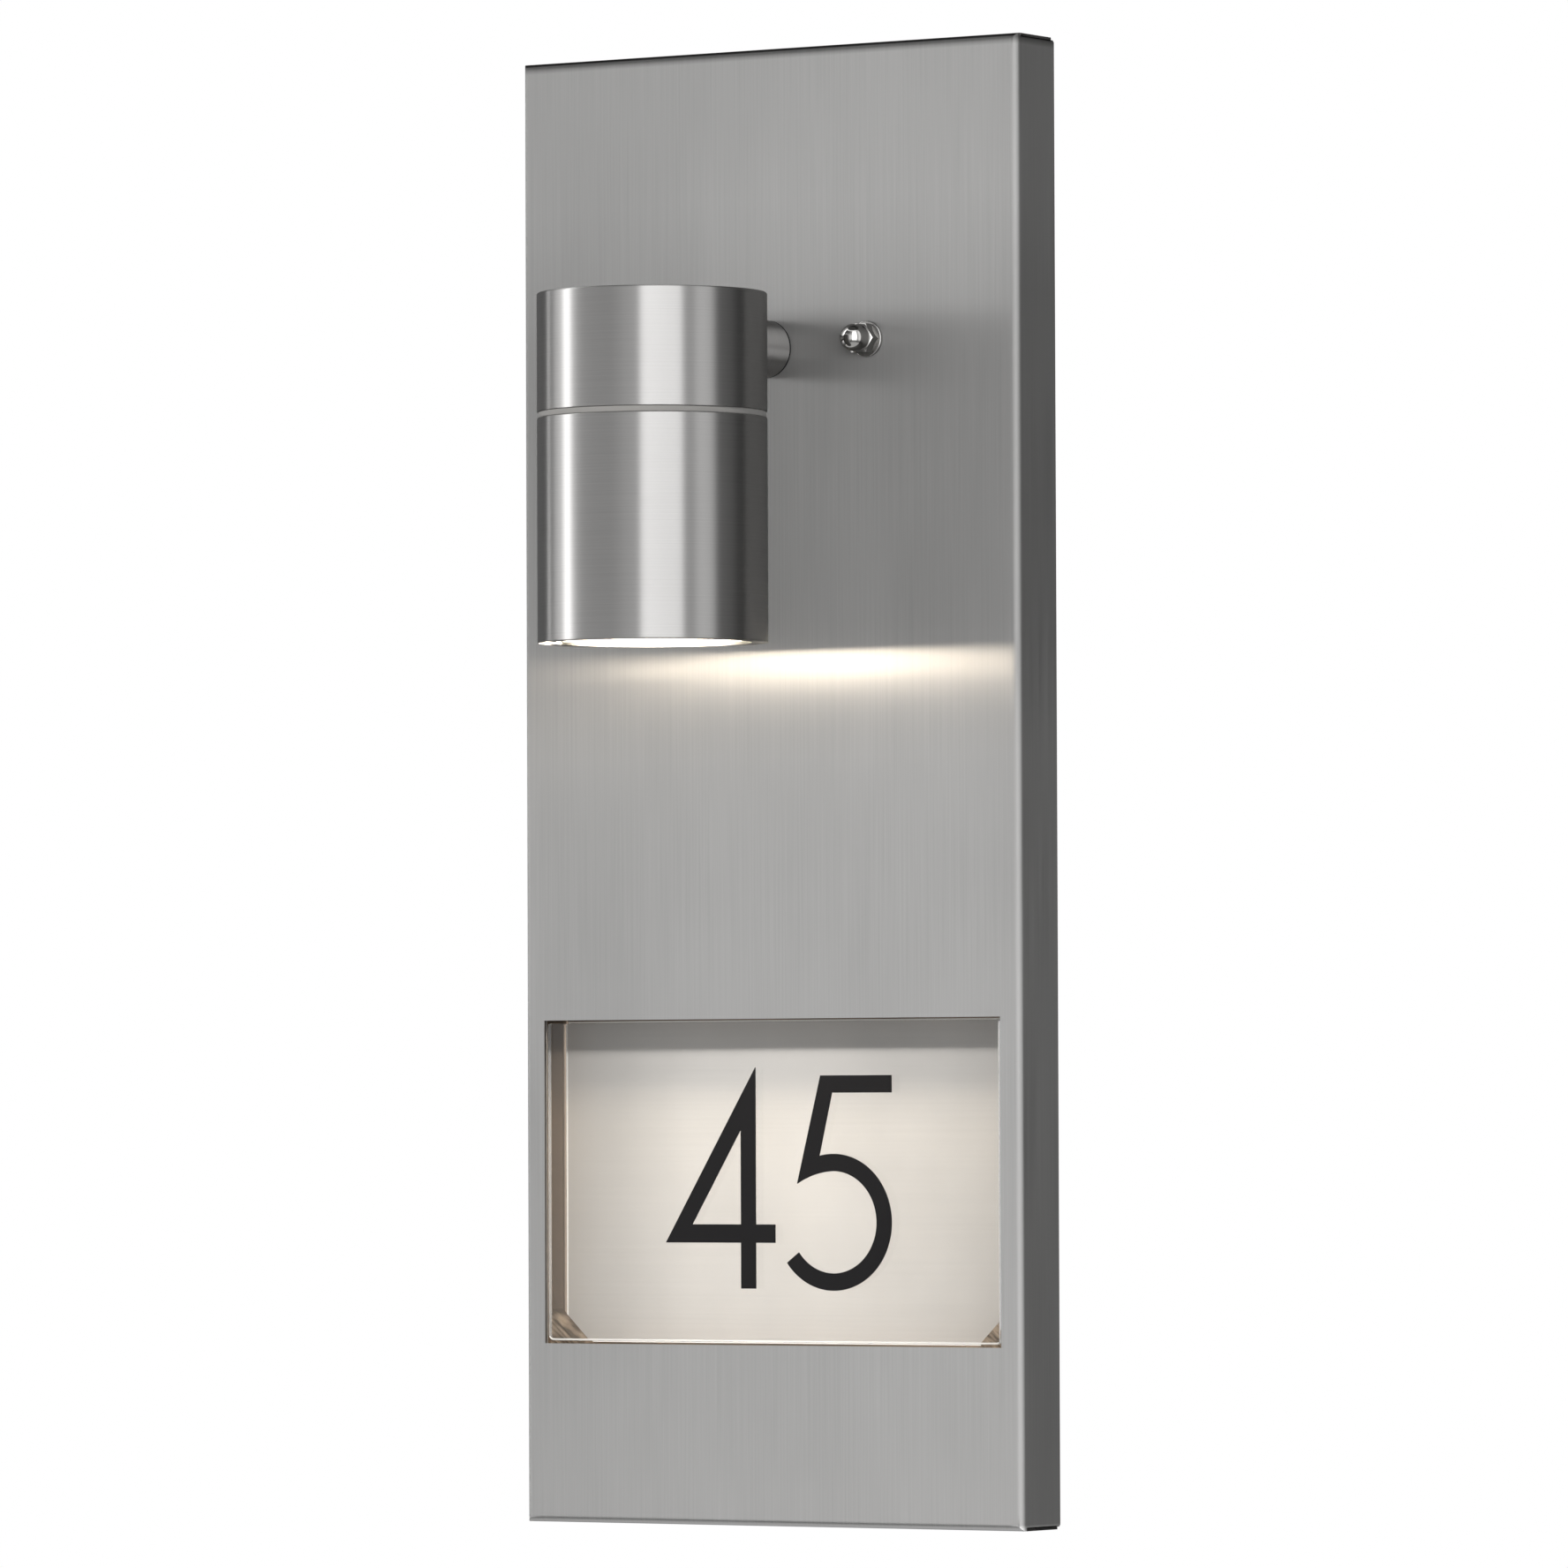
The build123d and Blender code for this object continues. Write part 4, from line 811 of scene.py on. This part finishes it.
def make_studio():
    """A pale floor well below the hanging sign, paler to the camera than it lights, and two soft lamps that give
    dull surfaces their plain level. The key comes in over the cut-out's upper edge and leaves a soft shadow along
    the pan's top. The window beam stands for the lamp's own light on the pan. It is fixed to the room, so it doesn't
    follow the lamp head."""
    reach, level, glow = 9.0, -1.25, 0.55
    mesh = bpy.data.meshes.new("floor")
    mesh.from_pydata([(-reach, -reach, level), (reach, -reach, level), (reach, reach, level), (-reach, reach, level)],
                     [], [(0, 1, 2, 3)])
    floor = bpy.data.objects.new("floor", mesh)
    bpy.context.scene.collection.objects.link(floor)
    made, tree, shader = new_material("pale_floor")
    shader.inputs["Base Color"].default_value = (0.86, 0.86, 0.85, 1)
    shader.inputs["Roughness"].default_value = 0.9
    shader.inputs["Emission Color"].default_value = (1, 1, 1, 1)
    seen = tree.nodes.new("ShaderNodeLightPath").outputs["Is Camera Ray"]
    link(tree, spread(tree, seen, 0.0, glow, 0.0, 1.0), shader.inputs["Emission Strength"])
    mesh.materials.append(made)
    floor.visible_glossy = False
    middle = Vector((0, 0, -0.12))
    for name, turn, rise, size, energy, colour in (("key", 7, 36, 0.34, 25, (1.0, 0.97, 0.935)),
                                                   ("fill_back", 207, 22, 1.8, 60, (1, 1, 1))):
        lamp = bpy.data.lights.new(name, "AREA")
        lamp.size = size
        lamp.energy = energy
        lamp.color = colour
        made = bpy.data.objects.new(name, lamp)
        turn, rise = radians(turn), radians(rise)
        made.location = middle + 2.6 * Vector((sin(turn) * cos(rise), -cos(turn) * cos(rise), sin(rise)))
        made.rotation_euler = (middle - made.location).to_track_quat("-Z", "Y").to_euler()
        made.visible_glossy = False
        made.visible_camera = False
        bpy.context.scene.collection.objects.link(made)
    beam = bpy.data.lights.new("window_beam", "SPOT")
    beam.energy = 37
    beam.spot_size = radians(11.6)
    beam.spot_blend = 1.0
    beam.shadow_soft_size = 0.05
    beam.color = (1.0, 0.97, 0.935)
    made = bpy.data.objects.new("window_beam", beam)
    aim, turn, rise = Vector((0.0, pan_high.y, window_low + 0.030)), radians(7), radians(37)
    made.location = aim + Vector((sin(turn) * cos(rise), -cos(turn) * cos(rise), sin(rise)))
    made.rotation_euler = (aim - made.location).to_track_quat("-Z", "Y").to_euler()
    made.visible_glossy = False
    made.visible_camera = False
    bpy.context.scene.collection.objects.link(made)
    for digit in ("digit_4", "digit_5"):
        nodes[digit].visible_shadow = False


def make_camera():
    """A long lens to the right of the face, a little below the middle and looking slightly up."""
    yaw, pitch, roll = radians(32.590), radians(1.738), radians(-0.206)
    distance, sensor, focal_share = 3.01336, 36, 12221.385 / 1776
    target = Vector((-0.007592, 0.0, -0.121620))
    forward = Vector((-sin(yaw) * cos(pitch), cos(yaw) * cos(pitch), sin(pitch)))
    level = Vector((cos(yaw), sin(yaw), 0))
    upward = level.cross(forward)
    right = cos(roll) * level + sin(roll) * upward
    up = -sin(roll) * level + cos(roll) * upward
    data = bpy.data.cameras.new("camera")
    data.sensor_fit = "HORIZONTAL"
    data.sensor_width = sensor
    data.lens = sensor * focal_share
    data.clip_end = 20
    camera = bpy.data.objects.new("camera", data)
    place = target - forward * distance
    camera.matrix_world = Matrix((
        (right.x, up.x, -forward.x, place.x), (right.y, up.y, -forward.y, place.y),
        (right.z, up.z, -forward.z, place.z), (0, 0, 0, 1)))
    bpy.context.scene.collection.objects.link(camera)
    bpy.context.scene.camera = camera


make_camera()
make_world()
make_studio()
make_lamp_light()
bpy.context.scene.view_settings.view_transform = "Standard"
